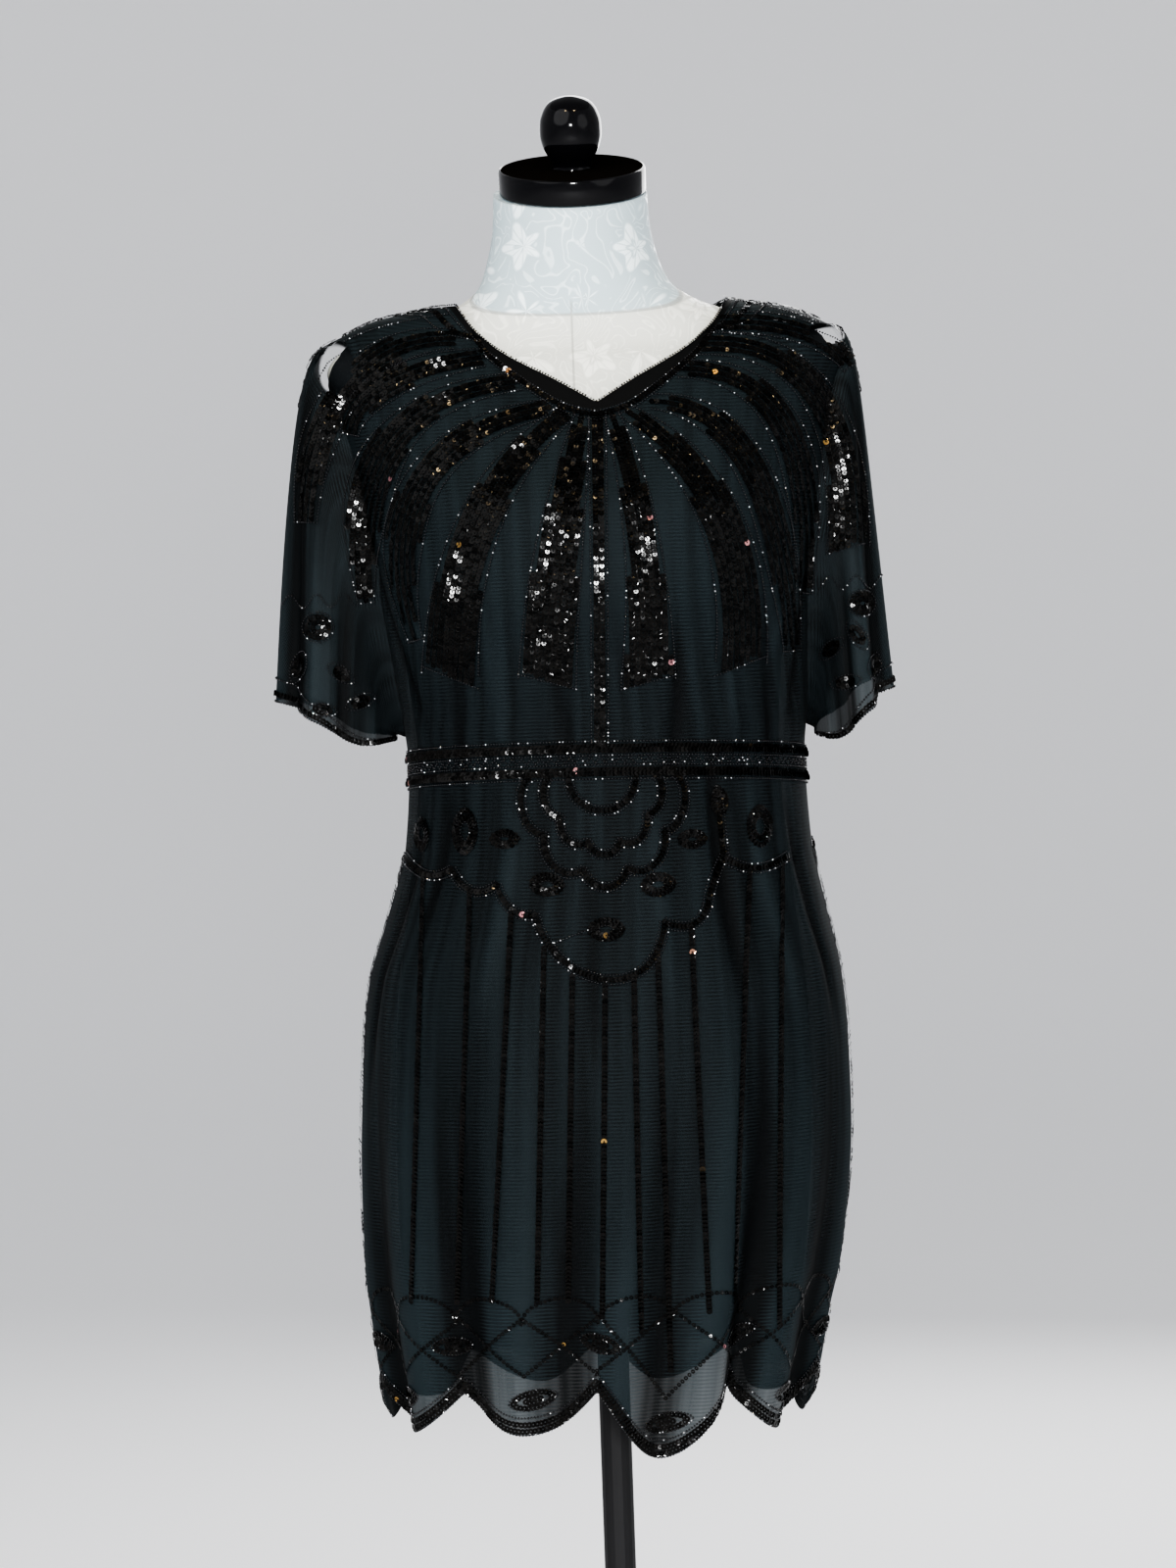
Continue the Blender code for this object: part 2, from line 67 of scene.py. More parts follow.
# %% Sizes of the garment
BELT_Z = 1.040  # height of the beaded belt
UNDERARM_Z = 1.062  # where the side seam opens into the armhole
SHOULDER_Z = 1.3645  # where the armhole meets the shoulder ridge
EDGE_TOP_Z = 1.386  # neck edge on the shoulder ridge
SCALLOPS = 10  # round the hem
NOTCH_TURN = -1.0  # degrees from the front centre to one notch between scallops
SHOULDER_RISE = 0.007  # how far the beaded shoulders stand up
NECK_CENTRE = 0.012  # the V hangs this far to the viewer's right
NECK_TILT = 0.32  # slope of the neck's top
TIP_OUT, TIP_Z = 0.214, 1.361  # the sleeve's outline beside the shoulder tip
SLEEVE_WAVES, SLEEVE_WAVE_PUSH = 5, 0.0035
SLEEVE_OUT, SLEEVE_IN = 0.020, 0.012  # the guides' push, out at the shoulder, in above the cuff
SLEEVE_DROP = 0.17  # the second guide stands this far above the cuff
FORM_MIDDLE = 0.003  # x of the form's middle at the shoulders
RIDGE_X, RIDGE_WIDE = 0.158, 0.034  # the raised part of the shoulder, to each side
RIDGE_Z, RIDGE_SOFT = 1.335, 0.03
FOLD_FOOT_Z = 0.53  # the large folds have their full depth here
LOWEST_EDGE_Z = 1.25  # every neck edge lies above this
LINING_HEM_Z = 0.612
FLOOR_GAP = 0.0005  # the studio floor lies this far under the stand

SECTION = ("z", "half", "front", "back", "centre", "square")
FORM_ROWS = [
    (0.700, 0.146, 0.106, 0.116, 0.000, 0.03),
    (0.760, 0.153, 0.112, 0.126, 0.000, 0.03),
    (0.840, 0.149, 0.108, 0.120, 0.001, 0.03),
    (0.940, 0.138, 0.098, 0.104, 0.002, 0.02),
    (1.030, 0.124, 0.092, 0.090, 0.003, 0.02),
    (1.110, 0.134, 0.106, 0.094, 0.003, 0.02),
    (1.200, 0.153, 0.1386, 0.100, 0.003, 0.02),
    (1.270, 0.169, 0.115, 0.102, 0.003, 0.03),
    (1.316, 0.184, 0.086, 0.091, 0.003, 0.04),
    (1.340, 0.195, 0.070, 0.078, 0.003, 0.05),
    (1.352, 0.189, 0.060, 0.066, 0.003, 0.04),
    (1.3641, 0.160, 0.0555, 0.061, 0.002, 0.02),
    (1.3762, 0.123, 0.054, 0.059, 0.001, 0.00),
    (1.3882, 0.091, 0.0535, 0.0585, 0.000, 0.00),
    (1.402, 0.073, 0.055, 0.059, -0.001, 0.00),
    (1.422, 0.065, 0.056, 0.058, -0.002, 0.00),
    (1.446, 0.060, 0.057, 0.058, -0.002, 0.00),
    (1.4725, 0.0585, 0.057, 0.057, -0.002, 0.00),
]
NET_ROWS = [
    (0.500, 0.152, 0.134, 0.140, -0.014, 0.05),
    (0.540, 0.157, 0.136, 0.142, -0.013, 0.05),
    (0.575, 0.165, 0.139, 0.145, -0.010, 0.05),
    (0.620, 0.173, 0.143, 0.149, -0.008, 0.05),
    (0.657, 0.180, 0.146, 0.152, -0.005, 0.05),
    (0.760, 0.187, 0.150, 0.157, 0.001, 0.05),
    (0.830, 0.185, 0.146, 0.154, 0.003, 0.05),
    (0.874, 0.1805, 0.141, 0.148, 0.004, 0.05),
    (0.926, 0.167, 0.133, 0.138, 0.007, 0.04),
    (0.978, 0.155, 0.124, 0.126, 0.010, 0.04),
    (1.040, 0.1515, 0.117, 0.112, 0.011, 0.03),
    (1.070, 0.154, 0.121, 0.111, 0.011, 0.03),
    (1.110, 0.158, 0.130, 0.111, 0.009, 0.03),
    (1.173, 0.166, 0.147, 0.113, 0.006, 0.03),
    (1.215, 0.173, 0.147, 0.115, 0.006, 0.03),
    (1.277, 0.186, 0.121, 0.114, 0.005, 0.04),
    (1.320, 0.197, 0.095, 0.103, 0.004, 0.05),
    (1.345, 0.205, 0.077, 0.086, 0.004, 0.06),
    (1.357, 0.200, 0.067, 0.074, 0.004, 0.05),
    (1.368, 0.170, 0.0625, 0.068, 0.003, 0.03),
    (1.380, 0.132, 0.0610, 0.0655, 0.002, 0.01),
    (1.392, 0.099, 0.0605, 0.0655, 0.001, 0.00),
    (1.405, 0.084, 0.0605, 0.0655, 0.000, 0.00),
]
LINING_ROWS = [
    (0.560, 0.149, 0.122, 0.129, -0.009, 0.04),
    (0.640, 0.155, 0.126, 0.133, -0.006, 0.04),
    (0.760, 0.160, 0.129, 0.139, -0.001, 0.04),
    (0.840, 0.158, 0.124, 0.134, 0.001, 0.04),
    (0.940, 0.147, 0.112, 0.118, 0.003, 0.03),
    (1.040, 0.138, 0.103, 0.100, 0.005, 0.02),
    (1.110, 0.143, 0.114, 0.101, 0.004, 0.02),
    (1.200, 0.159, 0.1415, 0.104, 0.003, 0.02),
    (1.270, 0.175, 0.1195, 0.107, 0.003, 0.03),
    (1.318, 0.191, 0.0910, 0.0975, 0.003, 0.04),
    (1.343, 0.200, 0.0735, 0.0815, 0.003, 0.05),
    (1.355, 0.1945, 0.0635, 0.0695, 0.003, 0.04),
    (1.3664, 0.166, 0.0590, 0.0645, 0.002, 0.02),
    (1.3786, 0.128, 0.0575, 0.0620, 0.001, 0.00),
    (1.3907, 0.0950, 0.0570, 0.0615, 0.000, 0.00),
    (1.405, 0.0790, 0.0580, 0.0620, 0.000, 0.00),
]
ARMHOLE = ("z", "turn")
ARMHOLE_ROWS = [
    (0.400, 90.0), (1.062, 90.0), (1.080, 86.0), (1.110, 82.5), (1.173, 76.5),
    (1.277, 70.5), (1.320, 69.0), (1.345, 70.0), (1.357, 76.0), (1.3645, 90.0), (1.500, 90.0),
]
LINING_ARMHOLE_ROWS = [
    (0.400, 90.0), (1.318, 90.0), (1.328, 80.0), (1.343, 68.0), (1.3525, 65.5),
    (1.3595, 70.0), (1.3695, 90.0), (1.500, 90.0),
]
NECK = ("off", "z")
V_ROWS = [
    (0.000, 1.3055), (0.030, 1.3240), (0.053, 1.3370), (0.067, 1.3455),
    (0.090, 1.3660), (0.104, 1.3870),
]
NET_NECK_ROWS = [
    (0.000, 1.2990), (0.021, 1.3050), (0.046, 1.3210), (0.068, 1.3385),
    (0.090, 1.3595), (0.1085, 1.3850),
]
BACK_NECK_ROWS = [(0.000, 1.3700), (0.040, 1.3730), (0.075, 1.3800), (0.104, 1.3870)]
BACK_NET_NECK_ROWS = [(0.000, 1.3600), (0.040, 1.3640), (0.075, 1.3740), (0.1085, 1.3850)]
FOLD = ("turn", "width", "push", "top")
NET_FOLDS = [
    (-76, 6.0, 0.0060, 0.88), (-63, 5.0, -0.0080, 0.84), (-49, 7.0, 0.0070, 0.94),
    (-34, 5.0, -0.0075, 0.86), (-22, 6.0, 0.0060, 0.92), (-8, 5.0, -0.0060, 0.82),
    (4, 6.0, 0.0060, 0.90), (15, 5.0, -0.0050, 0.84), (27, 6.0, 0.0110, 0.90),
    (36, 4.2, -0.0150, 0.86), (47, 7.0, 0.0070, 0.92), (61, 5.0, -0.0075, 0.84),
    (75, 6.0, 0.0060, 0.90), (98, 7.0, -0.0060, 0.86), (113, 7.0, 0.0080, 0.92),
    (130, 6.0, -0.0085, 0.88), (146, 7.0, 0.0080, 0.94), (163, 6.0, -0.0070, 0.84),
    (178, 7.0, 0.0075, 0.90), (-166, 6.0, -0.0075, 0.86), (-150, 7.0, 0.0080, 0.94),
    (-133, 6.0, -0.0080, 0.84), (-117, 7.0, 0.0075, 0.90), (-100, 6.0, -0.0060, 0.86),
]
HEM = ("turn", "low", "notch")
HEM_ROWS = [
    (-180, 0.542, 0.574), (-90, 0.540, 0.570), (-55, 0.543, 0.572), (-19, 0.546, 0.578),
    (17, 0.525, 0.578), (53, 0.538, 0.574), (90, 0.536, 0.568), (180, 0.542, 0.574),
]
SLEEVE = ("side", "corner", "inner", "depth", "corner_z", "low_z", "inner_z", "back_lift")
SLEEVE_ROWS = [
    (-1, 0.237, 0.150, 0.036, 1.093, 1.057, 1.061, 0.010),
    (1, 0.229, 0.172, 0.036, 1.088, 1.050, 1.054, 0.022),
]
# Small creases that only the fine shells hold: place, half length and half width in
# metres along and across the crease, lean in degrees from upright, push outward.
CREASE = ("turn", "z", "long", "wide", "lean", "push")
CREASE_ROWS = [
    (-70, 1.150, 0.075, 0.0060, -18, -0.0026), (-60, 1.175, 0.060, 0.0050, -24, 0.0018),
    (70, 1.140, 0.080, 0.0065, 16, -0.0028), (59, 1.165, 0.060, 0.0050, 22, 0.0018),
    (-44, 1.085, 0.050, 0.0050, 6, -0.0020), (-30, 1.095, 0.045, 0.0045, 2, 0.0016),
    (-12, 1.090, 0.055, 0.0050, -3, -0.0017), (20, 1.085, 0.050, 0.0050, 4, -0.0019),
    (36, 1.095, 0.045, 0.0045, -2, 0.0016), (50, 1.090, 0.055, 0.0050, -6, -0.0020),
    (-50, 0.965, 0.050, 0.0060, 4, -0.0022), (-28, 0.930, 0.070, 0.0050, 2, 0.0018),
    (-3, 0.900, 0.080, 0.0050, -2, -0.0018), (14, 0.930, 0.070, 0.0060, -3, 0.0018),
    (31, 0.950, 0.085, 0.0060, -3, -0.0030), (44, 0.940, 0.080, 0.0055, -5, 0.0024),
    (62, 0.930, 0.080, 0.0060, -6, -0.0028), (-66, 0.900, 0.090, 0.0060, 5, -0.0026),
    (150, 1.100, 0.060, 0.0060, 3, -0.0022), (172, 1.090, 0.050, 0.0050, -2, 0.0018),
    (-165, 1.095, 0.060, 0.0060, 2, -0.0020), (-140, 1.100, 0.055, 0.0060, -4, 0.0020),
    (120, 1.170, 0.070, 0.0060, -16, -0.0024), (-120, 1.165, 0.070, 0.0060, 16, -0.0024),
    (135, 0.930, 0.080, 0.0060, 4, -0.0024), (160, 0.910, 0.080, 0.0055, 0, 0.0022),
    (-158, 0.920, 0.080, 0.0060, -2, -0.0024), (-128, 0.930, 0.080, 0.0060, -4, 0.0022),
]

# %% Curves and surfaces
def table(names, rows):
    """The rows as one array for each named column."""
    return {name: np.array([float(row[i]) for row in rows]) for i, name in enumerate(names)}


def curve(at, known, values):
    """A smooth curve through the values that never overshoots them."""
    at, step = np.asarray(at, float), np.diff(known)
    rise = np.diff(values) / step
    slope = np.empty_like(values)
    slope[0], slope[-1] = rise[0], rise[-1]
    same = rise[:-1] * rise[1:] > 0
    near, far = 2 * step[1:] + step[:-1], step[1:] + 2 * step[:-1]
    with np.errstate(divide="ignore", invalid="ignore"):
        mean = (near + far) / (near / rise[:-1] + far / rise[1:])
    slope[1:-1] = np.where(same, mean, 0.0)
    clipped = np.clip(at, known[0], known[-1])
    i = np.clip(np.searchsorted(known, clipped, side="right") - 1, 0, len(step) - 1)
    h, t = step[i], (clipped - known[i]) / step[i]
    t2, t3 = t * t, t * t * t
    return (
        (2 * t3 - 3 * t2 + 1) * values[i]
        + (t3 - 2 * t2 + t) * h * slope[i]
        + (3 * t2 - 2 * t3) * values[i + 1]
        + (t3 - t2) * h * slope[i + 1]
    )


def look(sections, name, z):
    return curve(z, sections["z"], sections[name])


FORM, NET, LINING = (table(SECTION, rows) for rows in (FORM_ROWS, NET_ROWS, LINING_ROWS))
NET_ARMHOLE, LINING_ARMHOLE = table(ARMHOLE, ARMHOLE_ROWS), table(ARMHOLE, LINING_ARMHOLE_ROWS)
FOLDS, HEM_TABLE, CREASES = table(FOLD, NET_FOLDS), table(HEM, HEM_ROWS), table(CREASE, CREASE_ROWS)


def bezier(corners, t):
    """A smooth line from the first corner to the last, drawn toward the two between."""
    a, b, c, d = (np.array(p, float) for p in corners)
    return (1 - t) ** 3 * a + 3 * (1 - t) ** 2 * t * b + 3 * (1 - t) * t**2 * c + t**3 * d


def ring_point(sections, turn, z, push=0.0):
    """Point of the rounded surface; turn 0 is the front centre, + goes to the viewer's right."""
    half = look(sections, "half", z) + push
    deep = np.where(np.cos(turn) >= 0, look(sections, "front", z), look(sections, "back", z))
    swell = 1 + look(sections, "square", z) * np.sin(2 * turn) ** 2
    x = look(sections, "centre", z) + half * swell * np.sin(turn)
    y = -(deep + push) * swell * np.cos(turn)
    return np.stack([x, y, z + 0 * x], -1)


def fold_push(turn, z):
    """How far the large folds move the net in or out."""
    degrees = np.degrees(turn)
    total = np.zeros(np.broadcast(turn, z).shape)
    for k in range(len(FOLDS["turn"])):
        away = (degrees - FOLDS["turn"][k] + 180) % 360 - 180
        fade = np.clip((FOLDS["top"][k] - z) / (FOLDS["top"][k] - FOLD_FOOT_Z), 0, 1) ** 1.1
        total = total + FOLDS["push"][k] * fade * np.exp(-((away / FOLDS["width"][k]) ** 2))
    return total


def crease_push(turn, z):
    """Soft short creases: a bell across, and a longer bell along."""
    total = np.zeros(np.broadcast(turn, z).shape)
    radius = look(NET, "half", z) * 0.88
    for k in range(len(CREASES["turn"])):
        away = (np.degrees(turn) - CREASES["turn"][k] + 180) % 360 - 180
        across, up = np.radians(away) * radius, z - CREASES["z"][k]
        lean = math.radians(CREASES["lean"][k])
        along = up * math.cos(lean) + across * math.sin(lean)
        side = across * math.cos(lean) - up * math.sin(lean)
        bell = np.exp(-((side / CREASES["wide"][k]) ** 2) - (along / CREASES["long"][k]) ** 4)
        total = total + CREASES["push"][k] * bell
    return total


def stand_up(points):
    """The beaded shoulders stand a little proud of the form, as stiff beading does."""
    side, z = np.abs(points[..., 0] - FORM_MIDDLE), points[..., 2]
    rise = np.exp(-(((side - RIDGE_X) / RIDGE_WIDE) ** 2))
    points[..., 2] += SHOULDER_RISE * (rise * np.clip((z - RIDGE_Z) / RIDGE_SOFT, 0, 1))
    return points


def net_point(turn, z):
    push = fold_push(turn, z) + crease_push(turn, z)
    return stand_up(ring_point(NET, turn, z, push))


def plain_net_point(turn, z):
    return stand_up(ring_point(NET, turn, z, fold_push(turn, z)))


def lining_point(turn, z):
    push = 0.0016 * np.sin(6 * turn + 1) * np.clip((0.95 - z) / 0.3, 0, 1)
    return ring_point(LINING, turn, z, push)


def outward(surface, turn, z):
    """Unit normals of a surface given by turn and height."""
    across = surface(turn + 2e-3, z) - surface(turn - 2e-3, z)
    up = surface(turn, z + 4e-4) - surface(turn, z - 4e-4)
    normal = np.cross(across, up)
    return normal / np.linalg.norm(normal, axis=-1, keepdims=True)


def hem_height(turn):
    degrees = (np.degrees(turn) + 180) % 360 - 180
    low = curve(degrees, HEM_TABLE["turn"], HEM_TABLE["low"])
    notch = curve(degrees, HEM_TABLE["turn"], HEM_TABLE["notch"])
    swing = np.abs(np.sin(np.radians((degrees - NOTCH_TURN) * SCALLOPS / 2)))
    return notch - (notch - low) * swing


def lining_hem(turn):
    return LINING_HEM_Z + 0.007 * np.sin(5 * turn + 0.6) + 0.004 * np.sin(11 * turn)


def edge_height(sections, rows, share, armhole):
    """Height where each column, a share of the way to the armhole, meets a neck edge."""
    neck, share = table(NECK, rows), np.asarray(share, float)
    low, high = np.full(share.shape, LOWEST_EDGE_Z), np.full(share.shape, EDGE_TOP_Z)
    for _ in range(32):
        z = (low + high) / 2
        x = ring_point(sections, np.radians(share * look(armhole, "turn", z)), z)[..., 0]
        off = np.minimum(np.abs(x - NECK_CENTRE), neck["off"][-1])
        under = z < curve(off, neck["off"], neck["z"])
        low, high = np.where(under, z, low), np.where(under, high, z)
    return np.where(np.abs(share) > 0.9995, EDGE_TOP_Z, (low + high) / 2)


print("surfaces ready")

# %% [markdown]
# Shells, beads and turned pieces are all meshes made from points and faces. These helpers make
# the mesh, put an object of it into the scene, and close a stack of rings with quads.

# %% Mesh helpers
def new_mesh(name, points, faces, finish=None, smooth=True, edges=()):
    mesh = bpy.data.meshes.new(name)
    mesh.from_pydata(points, edges, faces)
    if finish:
        mesh.materials.append(finish)
    if smooth:
        mesh.polygons.foreach_set("use_smooth", np.ones(len(mesh.polygons), bool))
    return mesh


def show(name, data):
    """Puts an object of the mesh, light or camera into the scene."""
    made = bpy.data.objects.new(name, data)
    bpy.context.scene.collection.objects.link(made)
    return made


def store(mesh, title, kind, field, values):
    """Keeps a number or a vector with each point of the mesh."""
    held = mesh.attributes.new(title, kind, "POINT")
    held.data.foreach_set(field, values.ravel().astype(np.float32))


def ring_faces(count, sides, turned=False):
    """Quads between each ring of points and the next; turned makes them face the other way."""
    faces = []
    for ring in range(count - 1):
        low, high = ring * sides, (ring + 1) * sides
        for j in range(sides):
            k = (j + 1) % sides
            quad = (low + j, low + k, high + k, high + j)
            faces.append((quad[0], *quad[:0:-1]) if turned else quad)
    return faces


print("mesh helpers ready")

# %% [markdown]
# Surface finishes are built with a small helper that adds nodes, and with a wrapper round one
# output so that shader maths can be written as ordinary sums and products.

# %% Node helpers
class Value:
    """One number in a shader; sums and products of it add Math nodes."""

    def __init__(self, graph, socket):
        self.graph, self.socket = graph, socket

    def math(self, kind, *others):
        sources = [other.socket if isinstance(other, Value) else other for other in others]
        made = self.graph.node("ShaderNodeMath", {"operation": kind}, [self.socket, *sources])
        return Value(self.graph, made.outputs[0])

    def __add__(self, other):
        return self.math("ADD", other)

    def __radd__(self, other):
        return self.math("ADD", other)

    def __sub__(self, other):
        return self.math("SUBTRACT", other)

    def __rsub__(self, other):
        return (self * -1.0) + other

    def __mul__(self, other):
        return self.math("MULTIPLY", other)

    def __rmul__(self, other):
        return self.math("MULTIPLY", other)

    def __truediv__(self, other):
        return self.math("DIVIDE", other)

    def __pow__(self, other):
        return self.size().math("POWER", other)

    def sin(self):
        return self.math("SINE")

    def size(self):
        return self.math("ABSOLUTE")

    def fract(self):
        return self.math("FRACT")

    def over(self, edge, soft):
        """0 below the edge and 1 above it, with a soft step between."""
        step = self.graph.node(
            "ShaderNodeMapRange",
            {"interpolation_type": "SMOOTHSTEP", "clamp": True},
            {"Value": self.socket, "From Min": edge - soft, "From Max": edge + soft},
        )
        return Value(self.graph, step.outputs[0])


class Graph:
    """Adds nodes to a tree: the kind first, then its settings, then what its sockets get."""

    def __init__(self, tree):
        self.tree = tree

    def node(self, kind, settings=None, sockets=None):
        made = self.tree.nodes.new(kind)
        for name, value in (settings or {}).items():
            setattr(made, name, value)
        pairs = enumerate(sockets) if isinstance(sockets, list) else (sockets or {}).items()
        for key, value in pairs:
            if isinstance(value, Value):
                value = value.socket
            if isinstance(value, bpy.types.NodeSocket):
                self.tree.links.new(value, made.inputs[key])
            elif value is not None:
                made.inputs[key].default_value = value
        return made

    def value(self, node, output=0):
        return Value(self, node.outputs[output])

    def parts(self, vector):
        """The three numbers of a vector."""
        made = self.node("ShaderNodeSeparateXYZ", None, [vector])
        return [self.value(made, i) for i in range(3)]

    def noise(self, vector, scale, detail, bend=0.0, **settings):
        """Soft cloudy chance between 0 and 1."""
        sockets = {"Vector": vector, "Scale": scale, "Detail": detail, "Distortion": bend}
        return self.value(self.node("ShaderNodeTexNoise", settings, sockets))

    def attribute(self, name):
        """A number that the mesh keeps under this name."""
        return self.value(self.node("ShaderNodeAttribute", {"attribute_name": name}), 2)

    def blend(self, share, first, second):
        """A colour part way from the first to the second."""
        made = self.node(
            "ShaderNodeMix", {"data_type": "RGBA"}, {0: share, 6: first, 7: second}
        )
        return made.outputs[2]


def colour(red, green, blue):
    return (red, green, blue, 1.0)


def new_finish(name, base, roughness, **others):
    """A Principled finish with its constants set; returns material, graph and shader."""
    material = bpy.data.materials.new(name)
    material.use_nodes = True
    graph = Graph(material.node_tree)
    shader = material.node_tree.nodes["Principled BSDF"]
    shader.inputs["Base Color"].default_value = colour(*base)
    shader.inputs["Roughness"].default_value = roughness
    for key, value in others.items():
        shader.inputs[key.replace("_", " ")].default_value = value
    material.diffuse_color = colour(*base)
    return material, graph, shader


def link(graph, source, shader, socket):
    source = source.socket if isinstance(source, Value) else source
    graph.tree.links.new(source, shader.inputs[socket])


print("node helpers ready")

# %% [markdown]
# Net is mostly air, so its shell is partly see-through. Where two layers lie over each other
# the see-through shares multiply, which is why the sides of the skirt look like smoke and the
# middle, with the lining behind, looks solid. Fine ribs across the net give it its ladder look.

# %% Cloth finishes
RIB = 0.0027  # spacing of the ribs across the net
# The net's tone runs from black to a paler blue. Its ribs reach the paler blue, and so do the
# painted light on the bust and on the crests of folds.
RIB_AND_LIT_BLUE, NET_BLACK = (0.0144, 0.0224, 0.0262), (0.0020, 0.0029, 0.0035)
# Unbeaded places at the shoulders, where the white form shows: x, z, half sizes.
BARE_PLACES = [(-0.1845, 1.344, 0.0160, 0.021), (0.188, 1.356, 0.016, 0.009)]
SIDE_X, SIDE_SOFT = 0.155, 0.035  # where the net turns toward the side seams
LADDER_WIDTH = 0.023  # the ribs come and go in patches this wide
GATHERS_ACROSS, GATHERS_UP = 95.0, 3.5  # fine gathers in each metre
# Height where the painted light on the bust begins, and how softly it comes in.
LIT_BUST_Z, LIT_BUST_SOFT = 1.12, 0.07


def net_finish(name, cover_front, cover_side):
    """Net whose cover grows toward the side seams, where it is gathered and seen edge on."""
    material, graph, shader = new_finish(name, NET_BLACK, 0.70, Specular_IOR_Level=0.12)
    place = graph.node("ShaderNodeUVMap", {"uv_map": "cloth"}).outputs[0]
    across, up, _ = graph.parts(place)
    cloud = graph.noise(place, 60.0, 2.0, noise_dimensions="2D")
    ribs = (up * (2 * math.pi / RIB) + cloud * 3.0).sin()
    patch = ((across * (2 * math.pi / LADDER_WIDTH)).sin() * 0.5 + 0.5) * cloud
    ladder = ribs * (patch * 0.7 + 0.3)
    fold = graph.attribute("fold")
    drawn = graph.node("ShaderNodeCombineXYZ", None,
                       [across * GATHERS_ACROSS, up * GATHERS_UP])
    gather = graph.noise(drawn.outputs[0], 1.0, 3.0, noise_dimensions="2D") - 0.5
    x, _, z = graph.parts(graph.node("ShaderNodeTexCoord").outputs["Object"])
    cover = x.size().over(SIDE_X, SIDE_SOFT) * (cover_side - cover_front) + cover_front
    cover = cover + ladder * 0.03 - fold * 0.05 - gather * 0.10
    cover = cover + (1 - z.over(0.665, 0.03)) * 0.09 + z.over(1.366, 0.008) * 0.13
    for middle_x, middle_z, wide, high in BARE_PLACES:
        off = ((x - middle_x) / wide) ** 2.0 + ((z - middle_z) / high) ** 2.0
        cover = cover * (0.05 + 0.95 * off.over(0.9, 0.15))
    link(graph, cover.math("MINIMUM", 1.0), shader, "Alpha")
    # Painted light: the net is made paler over the bust, where the light from above and in front
    # falls.
    lit_bust = z.over(LIT_BUST_Z, LIT_BUST_SOFT) * (1 - x.size().over(SIDE_X, 0.03))
    # Painted shade and light: the net is darker in the troughs of folds, creases and fine gathers,
    # and paler on their crests. The ladder of ribs is the net's own.
    share = ladder * 0.40 + fold * 0.9 + gather * 1.1 + lit_bust * 0.28 + 0.39
    share = share.math("MAXIMUM", 0.0).math("MINIMUM", 1.0)
    link(graph, graph.blend(share, colour(*NET_BLACK), colour(*RIB_AND_LIT_BLUE)), shader, "Base Color")
    return material


def lining_finish():
    material, graph, shader = new_finish("tank_lining", (0.004, 0.006, 0.007), 0.75,
                                         Specular_IOR_Level=0.2)
    spots = graph.noise(graph.node("ShaderNodeTexCoord").outputs["Object"], 9.0, 3.0)
    tone = graph.blend(spots, colour(0.0025, 0.0035, 0.0045),
                       colour(0.0060, 0.0085, 0.0105))
    link(graph, tone, shader, "Base Color")
    return material


NET_FINISH, LINING_FINISH = net_finish("body_net", 0.85, 0.96), lining_finish()
SLEEVE_FINISH = net_finish("sleeve_net", 0.90, 0.93)
BINDING_FINISH, _, _ = new_finish("neck_band", (0.0025, 0.003, 0.0035), 0.7,
                                  Specular_IOR_Level=0.15)
print("cloth finishes ready")

# %% [markdown]
# Each shell is a grid of points with the same rows and columns as a paper pattern. The grid
# also gives the cloth coordinates in metres, so that ribs keep their real spacing.

# %% Cloth shells
def grid_mesh(name, grid, flat, finish, fold=None):
    """A shell through a grid of points, with cloth coordinates from the flat grid."""
    columns, rows = grid.shape[:2]
    index = np.arange(columns * rows).reshape(columns, rows)
    quads = np.stack([index[:-1, :-1], index[1:, :-1], index[1:, 1:], index[:-1, 1:]], -1)
    mesh = new_mesh(name, grid.reshape(-1, 3).tolist(), quads.reshape(-1, 4).tolist(), finish)
    corner = np.zeros(len(mesh.loops), np.int32)
    mesh.loops.foreach_get("vertex_index", corner)
    cloth = flat.reshape(-1, 2)[corner].ravel().astype(np.float32)
    mesh.uv_layers.new(name="cloth").data.foreach_set("uv", cloth)
    if fold is not None:
        store(mesh, "fold", "FLOAT", "value", fold)
    return show(name, mesh)


def area_of(made):
    return sum(p.area for p in made.data.polygons)


FOLD_DEPTH = 0.006  # a fold this deep takes the full change of cover, with full painted shade in its trough and painted light on its crest
CREASE_TONE, SLEEVE_TONE = 1.5, 1.6  # creases and sleeve folds change cover and painted shade more than their depth
BELT_SHARE = 0.52  # of a panel's rows, this share lies below the belt
ROW_CLOSING = 1.55  # rows close up toward the shoulder, which bends over
PANEL_HALF = 0.27  # half the flat width of a panel


def body_panel(name, layer, neck, columns, rows, back):
    """A front or back shell; its rows follow the hem below the belt and the neck above."""
    surface, sections, armhole, hem, finish = layer
    part = np.linspace(-1, 1, columns) * (-1 if back else 1)
    top = edge_height(sections, neck, part, armhole)
    share = np.linspace(0, 1, rows)
    z = np.zeros((columns, rows))
    foot_turn = np.pi - part * np.pi / 2 if back else part * np.pi / 2
    foot = hem(foot_turn)
    low = share < BELT_SHARE
    z[:, low] = foot[:, None] + (BELT_Z - foot)[:, None] * share[low] / BELT_SHARE
    rise = (share[~low] - BELT_SHARE) / (1 - BELT_SHARE)
    rise = 1 - (1 - rise) ** ROW_CLOSING
    z[:, ~low] = BELT_Z + (top - BELT_Z)[:, None] * rise
    turn = np.radians(part[:, None] * look(armhole, "turn", z))
    turn = np.pi - turn if back else turn
    grid = surface(turn, z)
    flat = np.stack([part[:, None] * PANEL_HALF + 0 * z, z], -1)
    fold = (fold_push(turn, z) + CREASE_TONE * crease_push(turn, z)) / FOLD_DEPTH
    return grid_mesh(name, grid, flat, finish, np.clip(fold, -1, 1))


